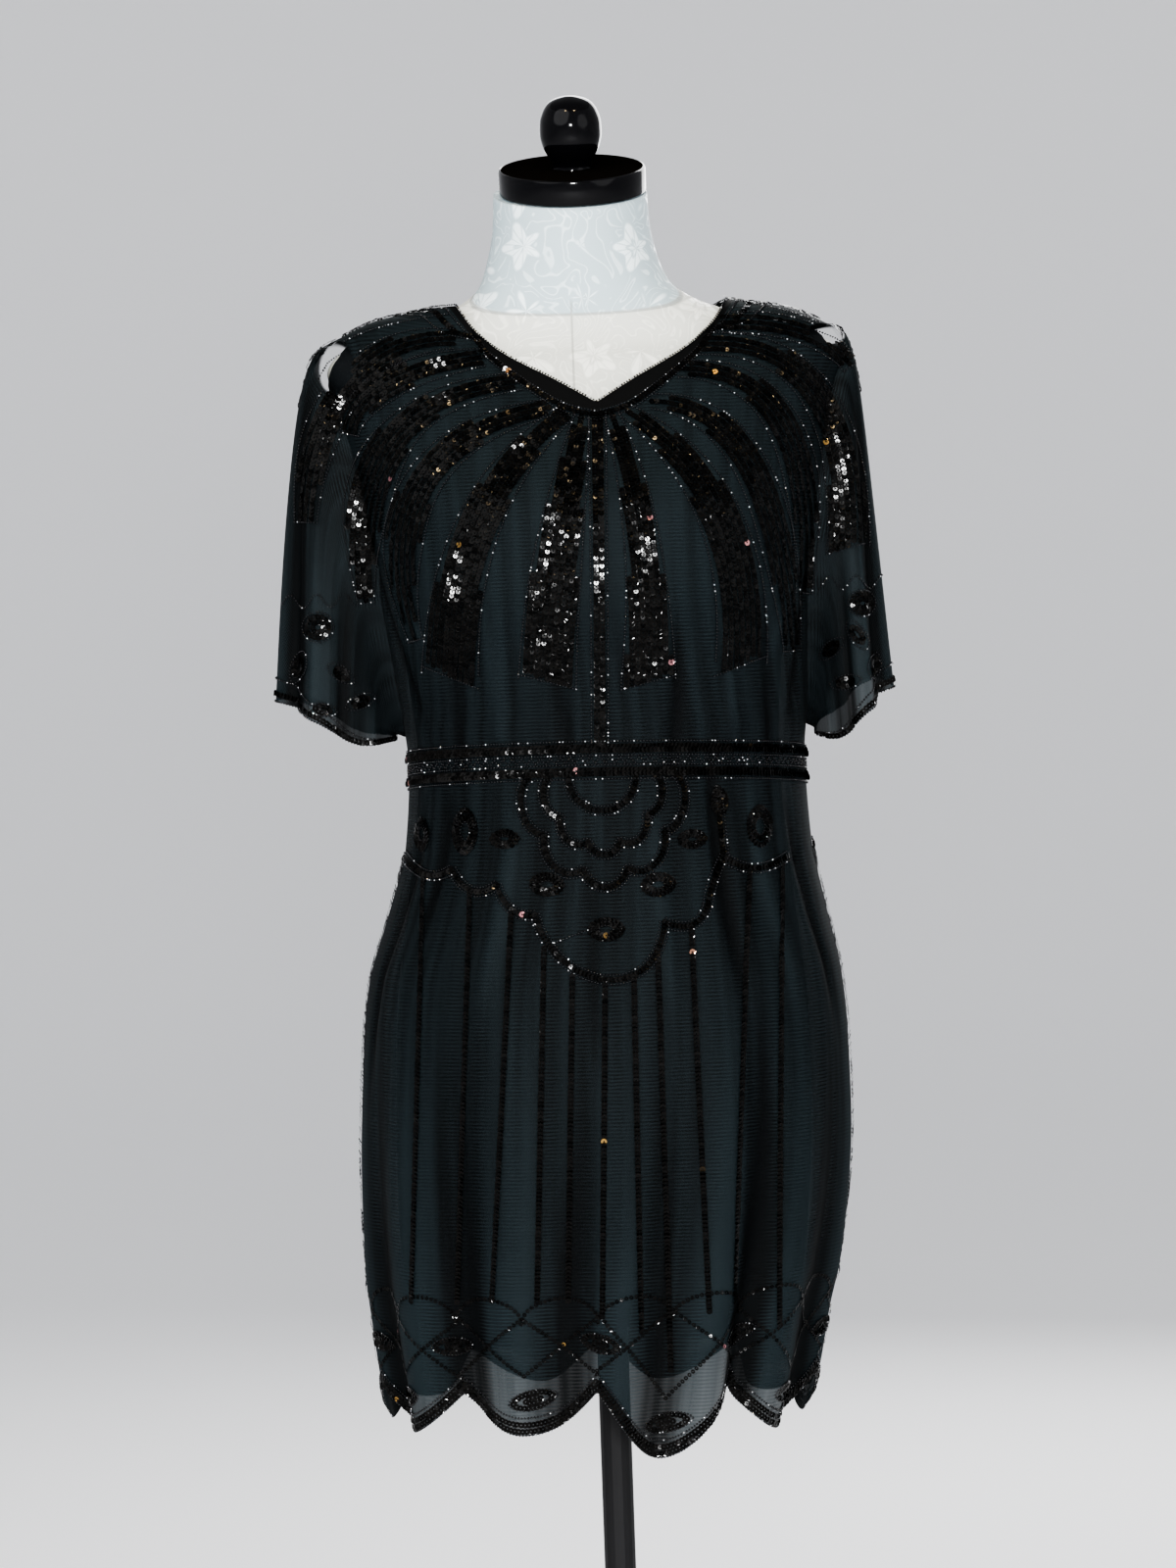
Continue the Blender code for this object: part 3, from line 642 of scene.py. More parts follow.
NET_LAYER = (net_point, NET, NET_ARMHOLE, hem_height, NET_FINISH)
LINING_LAYER = (lining_point, LINING, LINING_ARMHOLE, lining_hem, LINING_FINISH)
dress_front = body_panel("net_front", NET_LAYER, NET_NECK_ROWS, 221, 200, back=False)
dress_back = body_panel("net_back", NET_LAYER, BACK_NET_NECK_ROWS, 171, 170, back=True)
lining_front = body_panel("tank_front", LINING_LAYER, V_ROWS, 121, 130, back=False)
lining_back = body_panel("tank_back", LINING_LAYER, BACK_NECK_ROWS, 101, 120, back=True)
for shell in (dress_front, dress_back, lining_front, lining_back):
    print(shell.name, "area", round(area_of(shell), 3), "square metres")

# %% [markdown]
# A short open sleeve is a tube whose rings run from the armhole to the cuff. Each line along
# it is a curve with two guide points: the first leads out along the shoulder, the second lets
# the cloth fall straight down.

# %% Sleeves
SLEEVE_FLAT = (0.42, 1.36)  # the sleeve's flat width, and the level where its cloth starts


def armhole_loop(side, steps):
    """The armhole from the shoulder down the front and up the back, in even steps."""
    z = np.linspace(SHOULDER_Z, UNDERARM_Z, 900)
    line = net_point(side * np.radians(look(NET_ARMHOLE, "turn", z)), z)
    run = np.concatenate([[0], np.cumsum(np.linalg.norm(np.diff(line, axis=0), axis=1))])
    z = np.interp(np.linspace(0, run[-1], steps + 1), run, z)
    z = np.concatenate([z, z[-2::-1]])
    front = np.arange(len(z)) <= steps
    turn = side * np.radians(look(NET_ARMHOLE, "turn", z))
    turn = np.where(front, turn, side * np.pi - turn)
    return net_point(turn, z), front


def sleeve_grid(row, steps, rings):
    """Points of one sleeve, ring by ring from the armhole to the cuff."""
    size = dict(zip(SLEEVE, row))
    side = size["side"]
    start, front = armhole_loop(side, steps)
    fall = np.clip((start[:, 2].max() - start[:, 2]) / np.ptp(start[:, 2]), 0, 1)
    # 0 is the shoulder ridge, 90 the front, 180 the underarm, 270 the back
    around = np.arccos(np.clip(1 - 2 * fall**1.15, -1, 1))
    around = np.where(front, around, 2 * np.pi - around)
    middle, half = (size["corner"] + size["inner"]) / 2, (size["corner"] - size["inner"]) / 2
    depth = -size["depth"] * np.sin(around) * (1 + 0.15 * np.cos(around))
    shoulder_level = (size["corner_z"] + size["low_z"]) / 2
    level = curve(
        np.sin(around / 2) ** 2,
        np.array([0.0, 0.35, 0.75, 1.0]),
        np.array([size["corner_z"], shoulder_level, size["low_z"], size["inner_z"]]),
    )
    lift = np.where(front, 0.0, size["back_lift"] * np.abs(np.sin(around)))
    end = np.stack([side * (middle + half * np.cos(around)), depth, level + lift], -1)
    share = (np.cos(around / 2) ** 2)[:, None]
    tip = np.stack([side * TIP_OUT + 0 * around, start[:, 1] * 1.05, TIP_Z + 0 * around], -1)
    out = start + 0.30 * (end - start) + share * np.array([[side * SLEEVE_OUT, 0, 0]])
    guide_a = start + (tip - start) * share**1.5 + (out - start) * (1 - share**1.5)
    drop = np.stack([0 * around, 0.10 * depth, SLEEVE_DROP + 0 * around], -1)
    guide_b = end + share * (drop + np.array([[-side * SLEEVE_IN, 0, 0]]))
    guide_b[:, 2] += 0.006
    t = (np.linspace(0, 1, rings + 1) ** 0.9)[None, :, None]
    return bezier([line[:, None] for line in (start, guide_a, guide_b, end)], t), around


def grid_normals(grid, side):
    """Normals of a tube whose first and last lines are the same."""
    around = np.concatenate([grid[-2:-1], grid, grid[1:2]])
    across = (around[2:] - around[:-2]) / 2
    normal = np.cross(across, np.gradient(grid, axis=1)) * side
    return normal / np.maximum(np.linalg.norm(normal, axis=-1, keepdims=True), 1e-9)


SLEEVE_FOLDS = [  # degrees round the sleeve (90 front), width, push, share of the way it starts
    (38, 9, -0.0050, 0.15), (66, 8, 0.0030, 0.45), (95, 8, -0.0036, 0.35),
    (128, 8, 0.0026, 0.55), (325, 9, -0.0040, 0.20), (292, 9, 0.0032, 0.40),
    (262, 8, -0.0034, 0.45),
]


def sleeve_shell(name, row, steps, rings):
    side = row[0]
    grid, around = sleeve_grid(row, steps, rings)
    t = np.linspace(0, 1, rings + 1)
    wave = SLEEVE_WAVE_PUSH * np.sin(SLEEVE_WAVES * around + 0.7)[:, None] * (t**1.5)[None, :]
    wave = wave * np.cos(around / 2)[:, None] ** 2
    for at, width, push, begin in SLEEVE_FOLDS:
        bell = np.exp(-(((np.degrees(around) - at) / width) ** 2))[:, None]
        wave = wave + push * bell * np.clip((t - begin) / (1 - begin), 0, 1)[None, :] ** 0.8
    grid = grid + wave[..., None] * grid_normals(grid, side)
    if side < 0:
        grid, wave = grid[::-1], wave[::-1]
    run = np.linalg.norm(np.diff(grid, axis=1), axis=-1)
    down = np.concatenate([np.zeros((len(grid), 1)), np.cumsum(run, axis=1)], axis=1)
    width, top = SLEEVE_FLAT
    flat = np.stack([np.linspace(0, width, len(grid))[:, None] + 0 * down, top - down], -1)
    fold = np.clip(wave * SLEEVE_TONE / FOLD_DEPTH, -1, 1)
    return grid_mesh(name, grid, flat, SLEEVE_FINISH, fold), grid


sleeve_left, left_grid = sleeve_shell("sleeve_shell_left", SLEEVE_ROWS[0], 70, 80)
sleeve_right, right_grid = sleeve_shell("sleeve_shell_right", SLEEVE_ROWS[1], 70, 80)
print("sleeve areas", round(area_of(sleeve_left), 3), round(area_of(sleeve_right), 3))

# %% [markdown]
# The bias binding is a narrow folded strip round the neck. Its shell stands on the net's own
# neck edge and reaches up to the finished edge of the V.

# %% Neck binding
BINDING_HALF, BINDING_WIDTH = 0.16, 0.012  # flat sizes of the strip


def binding_shell(name, neck, edge, columns, back):
    part = np.linspace(-1, 1, columns) * (-1 if back else 1)
    low = edge_height(NET, edge, part, NET_ARMHOLE)
    high = edge_height(NET, neck, part, NET_ARMHOLE)
    share = np.linspace(0, 1, 9)
    z = low[:, None] + (high - low)[:, None] * share
    turn = np.radians(part[:, None] * look(NET_ARMHOLE, "turn", z))
    turn = np.pi - turn if back else turn
    grid = plain_net_point(turn, z)
    flat = np.stack([part[:, None] * BINDING_HALF + 0 * z,
                     BINDING_WIDTH * share[None, :] + 0 * z], -1)
    return grid_mesh(name, grid, flat, BINDING_FINISH)


binding_front = binding_shell("neck_band_front", V_ROWS, NET_NECK_ROWS, 161, back=False)
binding_back = binding_shell("neck_band_back", BACK_NECK_ROWS, BACK_NET_NECK_ROWS, 81, back=True)
print("binding areas", round(area_of(binding_front), 4), round(area_of(binding_back), 4))

# %% [markdown]
# The form's torso is a smooth padded body covered in damask. Its mesh has even rings from the
# flat underside to the top of the neck, closed at both ends.

# %% Dress form
NECK_SEAM_Z, NECK_SEAM_SLOPE = 1.401, 0.48  # the neck is sewn on along this tilted ring
FRONT_SEAM_X = -0.004
FLOWERS, PETALS, VEINS = 24.0, 5.0, 15.0  # flowers in each metre, petals and veins in each
CAP_FOOT = (0.0, -0.004, 1.4718)  # middle of the cap's underside
CAP_RADIUS, CAP_HEIGHT, ROUNDING = 0.056, 0.0195, 0.002
CAP_SIDES, KNOB_SIDES, TORSO_SIDES = 96, 64, 128


def form_finish():
    """White damask: satin flowers and scrolls on a duller ground, and the cover's seams."""
    material, graph, shader = new_finish("damask_cloth", (0.74, 0.74, 0.70), 0.5)
    place = graph.node("ShaderNodeTexCoord").outputs["Object"]
    x, y, z = graph.parts(place)
    cells = graph.node("ShaderNodeTexVoronoi", {"feature": "F1"},
                       {"Vector": place, "Scale": FLOWERS, "Randomness": 0.35})
    away = graph.node("ShaderNodeVectorMath", {"operation": "SUBTRACT"},
                      [place, cells.outputs["Position"]])
    off_x, _, off_z = graph.parts(away.outputs[0])
    turn = off_z.math("ARCTAN2", off_x)
    petals = graph.value(cells) * (1 + (turn * PETALS).math("COSINE") * 0.26)
    flower = 1 - petals.over(0.34, 0.03)
    heart = petals.over(0.10, 0.02) * (1 - petals.over(0.15, 0.02))
    veins = 1 - (turn * VEINS).math("COSINE").over(0.75, 0.2) * flower * 0.6
    swirl = (graph.noise(place, 30.0, 1.0, bend=1.2) * 26.0).sin()
    scroll = (1 - swirl.size().over(0.30, 0.12)) * petals.over(0.42, 0.03)
    satin = (flower * veins - heart * 0.8 + scroll * 0.5).math("MAXIMUM", 0.0)
    neck_off = (z - y * NECK_SEAM_SLOPE - NECK_SEAM_Z).size()
    neck_seam = 1 - neck_off.over(0.0009, 0.0004)
    front_seam = (1 - (x - FRONT_SEAM_X).size().over(0.0007, 0.0004)) * (1 - z.over(1.385, 0.004))
    seam = (neck_seam + front_seam).math("MINIMUM", 1.0)
    neck = (z - y * NECK_SEAM_SLOPE).over(NECK_SEAM_Z, 0.002)
    ground = graph.blend(neck, colour(0.60, 0.62, 0.58), colour(0.42, 0.52, 0.56))
    shine = graph.blend(neck, colour(0.84, 0.86, 0.81), colour(0.80, 0.90, 0.93))
    tone = graph.blend(satin * 0.9, ground, shine)
    link(graph, graph.blend(seam * 0.55, tone, colour(0.25, 0.25, 0.24)), shader, "Base Color")
    link(graph, 0.60 - satin * 0.28, shader, "Roughness")
    height = satin + graph.noise(place, 900.0, 1.0) * 0.25 - seam * 3.0
    bump = graph.node("ShaderNodeBump", None,
                      {"Strength": 0.35, "Distance": 0.0005, "Height": height})
    link(graph, bump.outputs[0], shader, "Normal")
    return material


def closed_rings(name, rings, finish):
    """A closed body from a stack of rings, first ring lowest."""
    count, sides = len(rings), len(rings[0])
    faces = ring_faces(count, sides)
    faces.append(tuple(range(sides - 1, -1, -1)))
    faces.append(tuple((count - 1) * sides + j for j in range(sides)))
    mesh = new_mesh(name, [tuple(p) for ring in rings for p in ring], faces, finish)
    for end in (-2, -1):
        mesh.polygons[end].use_smooth = False
    return show(name, mesh)


def torso_rings(sides, levels):
    turn = np.arange(sides) * 2 * np.pi / sides
    rings = []
    for z in levels:
        ring = ring_point(FORM, turn, np.full(sides, z))
        ring[:, 2] += NECK_TILT * np.clip((z - 1.405) / 0.06, 0, 1) * ring[:, 1]
        rings.append(ring)
    return rings


torso_levels = np.concatenate([np.linspace(0.700, 1.316, 70), np.linspace(1.320, 1.4725, 56)])
DAMASK_FINISH = form_finish()
torso = closed_rings("form_body", torso_rings(TORSO_SIDES, torso_levels), DAMASK_FINISH)

GLOSS_FINISH, _, _ = new_finish("gloss_black", (0.004, 0.004, 0.005), 0.10, IOR=1.30)
TOP_FINISH, _, _ = new_finish("cap_top", (0.007, 0.006, 0.005), 0.5, Specular_IOR_Level=0.0)
METAL_FINISH, _, _ = new_finish("metal_black", (0.012, 0.012, 0.013), 0.5,
                                Specular_IOR_Level=0.25)


def turned_piece(name, profile, sides):
    """A glossy turned piece on the neck's tilted top, from (radius, height) pairs."""
    angle, lean = np.arange(sides) * 2 * np.pi / sides, math.atan(NECK_TILT)
    rings = []
    for radius, height in profile:
        x, y = radius * np.cos(angle), radius * np.sin(angle)
        up = y * math.sin(lean) + height * math.cos(lean)
        rings.append(np.stack([CAP_FOOT[0] + x,
                               CAP_FOOT[1] + y * math.cos(lean) - height * math.sin(lean),
                               CAP_FOOT[2] + up], -1))
    made = closed_rings(name, rings, GLOSS_FINISH)
    made.data.polygons.foreach_set("use_smooth", np.ones(len(made.data.polygons), bool))
    made.data.set_sharp_from_angle(angle=math.radians(38))
    return made


cap = turned_piece("cap_disc", [
    (0.0545, 0.0004), (0.0556, 0.0010), (CAP_RADIUS, ROUNDING), (CAP_RADIUS, CAP_HEIGHT - ROUNDING),
    (0.0556, CAP_HEIGHT - 0.0007), (0.0542, CAP_HEIGHT)], CAP_SIDES)
cap.data.materials.append(TOP_FINISH)
cap.data.polygons[-1].material_index = 1
knob_foot = CAP_HEIGHT + 0.0004
knob_height = np.array([0, 0.003, 0.008, 0.016, 0.026, 0.034, 0.043, 0.050, 0.053, 0.054])
knob_radius = np.array([0.0155, 0.0150, 0.0175, 0.0215, 0.0235, 0.0232, 0.0205, 0.0150, 0.0075,
                        0.0025])
levels = np.concatenate([np.linspace(0, 0.050, 26), [0.0515, 0.0525, 0.0533, 0.0540]])
knob = turned_piece("knob", [(float(r), knob_foot + float(h)) for h, r in
                             zip(levels, curve(levels, knob_height, knob_radius))], KNOB_SIDES)
for node in ("stand_pole", "stand_base"):
    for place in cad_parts[node].material_slots:
        place.material = METAL_FINISH
print("dress form ready")

# %% [markdown]
# The beading is drawn first as lines on the cloth. What the front of the dress shows is drawn
# in a flat plane through the form's middle, as on a tracing sheet held in front of it, and
# each point is sent from the eye toward that sheet until it meets the cloth. Lines that run
# round the body are given by turn and height instead.

# %% Tracing onto the cloth
EYE = Vector((-0.004, -3.2, 1.10))  # where the photograph was taken from
MM = 0.001
LONGEST_STEP = 0.010  # a traced line breaks where it would jump further than this
TRACE_STEP = 2.0  # millimetres between the points of a straight line on the sheet


def cloth_tree(*shells):
    """One tree of the shells' faces, to find where a ray meets the cloth."""
    points, faces = [], []
    for shell in shells:
        first = len(points)
        points += [tuple(v.co) for v in shell.data.vertices]
        faces += [tuple(first + i for i in p.vertices) for p in shell.data.polygons]
    return BVHTree.FromPolygons(points, faces)


FRONT_TREE = cloth_tree(dress_front, sleeve_left, sleeve_right)
BACK_TREE = cloth_tree(dress_back, sleeve_left, sleeve_right)


def is_bare(place):
    return any(((place.x - x) / wide) ** 2 + ((place.z - z) / high) ** 2 < 1.0
               for x, z, wide, high in BARE_PLACES)


def trace(plane, back=False):
    """Sends (x, z) points in millimetres to the cloth; returns runs of (points, normals)."""
    eye = Vector((EYE.x, -EYE.y, EYE.z)) if back else EYE
    tree = BACK_TREE if back else FRONT_TREE
    runs, points, normals = [], [], []
    for x, z in plane:
        aim = Vector((x * MM, 0.0, z * MM)) - eye
        place, normal = tree.ray_cast(eye, aim.normalized())[:2]
        if place is not None and not back and is_bare(place):
            place = None
        far = points and place is not None and (place - points[-1]).length > LONGEST_STEP
        if place is None or far:
            if len(points) > 2:
                runs.append((points, normals))
            points, normals = [], []
        if place is not None:
            points.append(place)
            normals.append(-normal if normal.dot(aim) > 0 else normal)
    if len(points) > 2:
        runs.append((points, normals))
    return [smooth_run(p, n) for p, n in runs]


def smooth_run(points, normals):
    points, normals = np.array([tuple(p) for p in points]), np.array([tuple(n) for n in normals])
    for _ in range(3):
        normals[1:-1] = (normals[:-2] + normals[1:-1] + normals[2:]) / 3
    return points, normals / np.linalg.norm(normals, axis=-1, keepdims=True)


def around_net(turn, z):
    """A line on the net given by turn in radians and height."""
    turn, z = np.broadcast_arrays(np.asarray(turn, float), np.asarray(z, float))
    return net_point(turn, z), outward(net_point, turn, z)


def flat_bezier(corners, count):
    return bezier(corners, np.linspace(0, 1, count)[:, None])


def sideways(line):
    """Unit headings along a line on the sheet, and the same turned to its left."""
    heading = np.gradient(line, axis=0)
    heading /= np.maximum(np.linalg.norm(heading, axis=1, keepdims=True), 1e-9)
    return heading, np.stack([-heading[:, 1], heading[:, 0]], -1)


def straight(start, end):
    start, end = np.array(start, float), np.array(end, float)
    count = max(3, int(np.linalg.norm(end - start) / TRACE_STEP))
    return start + (end - start) * np.linspace(0, 1, count)[:, None]


# Places where the sequins lie flat and turn to the front, so that they flash together:
# x, z, half sizes, in millimetres on the front of the cloth.
FLAT_PLACES = [
    (-32, 1192, 8, 13), (-42, 1166, 9, 7), (-24, 1222, 5, 10), (47, 1194, 11, 9),
    (-97, 1172, 7, 12), (-93, 1194, 5, 6), (-172, 1236, 7, 16), (195, 1250, 7, 22),
    (8, 1178, 5, 14), (-181, 1318, 6, 8), (-105, 1342, 7, 5), (-103, 1316, 8, 5),
    (-74, 1256, 6, 6), (-48, 1274, 5, 6), (92, 1303, 5, 4), (90, 1262, 5, 5),
    (-32, 1130, 8, 6), (-53, 1336, 4, 4), (62, 1000, 4, 4),
]
LAMP_SIDE = np.array([0.02, -3.25, 1.15])  # between the camera and the small lamp


def flat_share(points, normals):
    """1 in the middle of a flat place and 0 well outside all of them."""
    share = np.zeros(len(points))
    for x, z, wide, high in FLAT_PLACES:
        off = ((points[:, 0] / MM - x) / wide) ** 2 + ((points[:, 2] / MM - z) / high) ** 2
        share = np.maximum(share, np.clip(1.5 - off, 0, 1))
    return share * (normals[:, 1] < -0.3)  # on the front alone


class Trails:
    """Lines on the cloth that will carry one kind of bead or sequin."""

    def __init__(self):
        self.runs = []

    def add(self, *runs, lift=0.0):
        for points, normals in runs:
            self.runs.append((points + normals * lift, normals))

    def length(self):
        return sum(np.linalg.norm(np.diff(p, axis=0), axis=1).sum() for p, n in self.runs)

    def guide(self, name):
        """A mesh of plain edges that holds the cloth's normal at each point."""
        points, normals, edges = [], [], []
        for run, normal in self.runs:
            first = len(points)
            points += run.tolist()
            normals += normal.tolist()
            edges += [(first + i, first + i + 1) for i in range(len(run) - 1)]
        mesh = new_mesh(name, points, [], edges=edges)
        points, normals = np.array(points), np.array(normals)
        flat = flat_share(points, normals)
        facing = LAMP_SIDE - points
        facing /= np.linalg.norm(facing, axis=1, keepdims=True)
        normals = normals * (1 - flat[:, None]) + facing * flat[:, None]
        store(mesh, "cloth_normal", "FLOAT_VECTOR", "vector", normals)
        store(mesh, "lies_flat", "FLOAT", "value", flat)
        return show(name, mesh)


print("ready to trace onto", len(dress_front.data.polygons), "faces of the net's front")

# %% [markdown]
# A sequin is a thin cup with a hole in its middle, and a seed bead is a tiny bright ball. One
# node tree strings either of them along the drawn lines: it walks each line at an even
# spacing, stands each piece on the cloth's normal, leans it back over the next one as the
# thread does, and adds a little chance tilt, which is what makes neighbours glint apart.

# %% One sequin and one bead
SEQUIN_RADIUS, SEQUIN_HOLE, SEQUIN_CUP = 0.0024, 0.0006, 0.00012
SEQUIN_SIDES, SMALL_SIDES = 8, 6
SMALL_RADIUS, BEAD_RADIUS = 0.0017, 0.00105


def sequin_mesh(name, radius, sides):
    """A nearly flat disc with a hole, whose rim turns up."""
    angle = np.arange(sides) * 2 * math.pi / sides
    rings = [(SEQUIN_HOLE, 0.0), (radius * 0.74, 0.00001), (radius, SEQUIN_CUP)]
    points = [(r * math.cos(a), r * math.sin(a), z) for r, z in rings for a in angle]
    return new_mesh(name, points, ring_faces(len(rings), sides, turned=True), smooth=False)


def bead_mesh():
    r, h = BEAD_RADIUS, BEAD_RADIUS * 0.8
    points = [(0, 0, h), (r, 0, 0), (0, r, 0), (-r, 0, 0), (0, -r, 0), (0, 0, -h)]
    faces = [(0, 1 + i, 1 + (i + 1) % 4) for i in range(4)]
    faces += [(5, 1 + (i + 1) % 4, 1 + i) for i in range(4)]
    return new_mesh("bead", points, faces)


SEQUIN = bpy.data.objects.new("one_sequin", sequin_mesh("sequin", SEQUIN_RADIUS, SEQUIN_SIDES))
SMALL = bpy.data.objects.new("small_sequin",
                             sequin_mesh("small_sequin", SMALL_RADIUS, SMALL_SIDES))
BEAD = bpy.data.objects.new("one_bead", bead_mesh())
print("one sequin, one small sequin and one bead ready")

# %% The stringing tree
FLAT_CALM = 0.70  # how much of the lean and chance tilt a flat place takes away


def stringing_tree():
    tree = bpy.data.node_groups.new("stringing", "GeometryNodeTree")
    face = tree.interface
    face.new_socket("Lines", in_out="INPUT", socket_type="NodeSocketGeometry")
    names = {
        "Piece": "NodeSocketObject", "Spacing": "NodeSocketFloat", "Lean": "NodeSocketFloat",
        "Chance tilt": "NodeSocketFloat", "Seed": "NodeSocketInt",
        "Finish": "NodeSocketMaterial",
    }
    for name, kind in names.items():
        face.new_socket(name, in_out="INPUT", socket_type=kind)
    face.new_socket("Strung", in_out="OUTPUT", socket_type="NodeSocketGeometry")
    graph = Graph(tree)
    given = graph.node("NodeGroupInput").outputs
    line = graph.node("GeometryNodeMeshToCurve", None, {"Mesh": given["Lines"]})
    spots = graph.node("GeometryNodeCurveToPoints", {"mode": "LENGTH"},
                       {"Curve": line.outputs[0], "Length": given["Spacing"]})
    normal = graph.node("GeometryNodeInputNamedAttribute", {"data_type": "FLOAT_VECTOR"},
                        {"Name": "cloth_normal"})
    stood = graph.node("FunctionNodeAlignRotationToVector", {"axis": "Z"},
                       {"Vector": normal.outputs[0]})
    turned = graph.node("FunctionNodeAlignRotationToVector", {"axis": "X", "pivot_axis": "Z"},
                        {"Rotation": stood.outputs[0], "Vector": spots.outputs["Tangent"]})
    minus = graph.node("ShaderNodeMath", {"operation": "MULTIPLY"},
                       [given["Chance tilt"], -1.0])
    least = graph.node("ShaderNodeCombineXYZ", None, [minus.outputs[0]] * 2)
    most = graph.node("ShaderNodeCombineXYZ", None, [given["Chance tilt"]] * 2)
    chance = graph.node("FunctionNodeRandomValue", {"data_type": "FLOAT_VECTOR"},
                        {0: least.outputs[0], 1: most.outputs[0], "Seed": given["Seed"]})
    lean = graph.node("ShaderNodeCombineXYZ", None, {1: given["Lean"]})
    total = graph.node("ShaderNodeVectorMath", {"operation": "ADD"},
                       [chance.outputs[0], lean.outputs[0]])
    flat = graph.node("GeometryNodeInputNamedAttribute", {"data_type": "FLOAT"},
                      {"Name": "lies_flat"})
    calm = graph.node("ShaderNodeMath", {"operation": "MULTIPLY_ADD"},
                      [flat.outputs[0], -FLAT_CALM, 1.0])
    calmed = graph.node("ShaderNodeVectorMath", {"operation": "SCALE"},
                        {0: total.outputs[0], "Scale": calm.outputs[0]})
    tilt = graph.node("FunctionNodeEulerToRotation", None, [calmed.outputs[0]])
    placed = graph.node("FunctionNodeRotateRotation", {"rotation_space": "LOCAL"},
                        {0: turned.outputs[0], 1: tilt.outputs[0]})
    shape = graph.node("GeometryNodeObjectInfo", {"transform_space": "ORIGINAL"},
                       {"Object": given["Piece"]})
    strung = graph.node(
        "GeometryNodeInstanceOnPoints", None,
        {"Points": spots.outputs["Points"], "Instance": shape.outputs["Geometry"],
         "Rotation": placed.outputs[0]},
    )
    tone = graph.node("FunctionNodeRandomValue", {"data_type": "FLOAT"}, {"Seed": given["Seed"]})
    marked = graph.node("GeometryNodeStoreNamedAttribute",
                        {"data_type": "FLOAT", "domain": "INSTANCE"},
                        {"Geometry": strung.outputs[0], "Name": "tone",
                         "Value": tone.outputs[1]})
    real = graph.node("GeometryNodeRealizeInstances", None, {0: marked.outputs[0]})
    painted = graph.node("GeometryNodeSetMaterial", None,
                         {"Geometry": real.outputs[0], "Material": given["Finish"]})
    end = graph.node("NodeGroupOutput")
    tree.links.new(painted.outputs[0], end.inputs[0])
    return tree


STRINGING = stringing_tree()
print("stringing tree has", len(STRINGING.nodes), "nodes")


def string_up(name, trails, piece, spacing, lean, chance, seed, finish):
    """Strings a piece along the trails and keeps the result as one plain mesh."""
    guide = trails.guide(name + "_guide")
    modifier = guide.modifiers.new("stringing", "NODES")
    modifier.node_group = STRINGING
    values = {"Piece": piece, "Spacing": spacing, "Lean": lean, "Chance tilt": chance,
              "Seed": seed, "Finish": finish}
    for item in STRINGING.interface.items_tree:
        if item.item_type == "SOCKET" and item.in_out == "INPUT" and item.name in values:
            modifier[item.identifier] = values[item.name]
    bpy.context.view_layer.update()
    seen = guide.evaluated_get(bpy.context.evaluated_depsgraph_get())
    mesh = bpy.data.meshes.new_from_object(seen)
    mesh.name = name
    for spare in ("cloth_normal", "lies_flat"):
        if spare in mesh.attributes:
            mesh.attributes.remove(mesh.attributes[spare])
    made = show(name, mesh)
    bpy.data.objects.remove(guide, do_unlink=True)
    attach(made, "root")
    print(name, "length", round(trails.length(), 2), "m,", len(mesh.polygons), "faces")

# %% [markdown]
# Black sequins and beads keep almost no colour of their own. One or two sequins in a thousand are
# coloured gold or rose as painted glints of warm light; the gold ones are also metal. Eight beads
# in a hundred are pale and partly metal: painted glints, whose metal also reflects the lamps.

# %% Sequin and bead finishes
GOLD_GLINT_FROM, ROSE_GLINT_FROM, GLINT_BEAD_FROM = 0.9983, 0.9993, 0.92  # of a chance between 0 and 1


def sequin_finish():
    material, graph, shader = new_finish("sequins", (0.004, 0.004, 0.0045), 0.12,
                                         Specular_IOR_Level=0.13)
    tone = graph.attribute("tone")
    # Painted glints: the rare gold and rose sequins stand for glints of warm light.
    gold_glint, rose_glint = tone.over(GOLD_GLINT_FROM, 0.0003), tone.over(ROSE_GLINT_FROM, 0.0002)
    jet = graph.blend((tone * 53.0).fract(), colour(0.0005, 0.0005, 0.0005),
                      colour(0.006, 0.0055, 0.005))
    warm = graph.blend(gold_glint, jet, colour(0.30, 0.19, 0.07))
    warm = graph.blend(rose_glint, warm, colour(0.34, 0.17, 0.18))
    link(graph, warm, shader, "Base Color")
    link(graph, gold_glint * 0.9, shader, "Metallic")
    link(graph, (tone * 37.0).fract() * 0.16 + 0.06, shader, "Roughness")
    return material


def bead_finish():
    material, graph, shader = new_finish("beads", (0.010, 0.010, 0.012), 0.10)
    tone = graph.attribute("tone")
    # Painted glints: the pale, partly metal beads stand for the glints of the beads, and their
    # metal also reflects the lamps.
    glint_bead = tone.over(GLINT_BEAD_FROM, 0.002)
    pale = graph.blend(glint_bead, colour(0.010, 0.010, 0.012), colour(0.55, 0.56, 0.58))
    link(graph, pale, shader, "Base Color")
    link(graph, glint_bead * 0.8, shader, "Metallic")
    return material


SEQUIN_FINISH, BEAD_FINISH = sequin_finish(), bead_finish()
print("sequin and bead finishes ready")

# %% [markdown]
# The rays of the bodice are bands of sequin rows that start narrow at the neckline and widen
# on their way down. A table holds each band's middle line as four guide points and its width
# at four places, in millimetres on the tracing sheet. A slant makes the outer side longer.

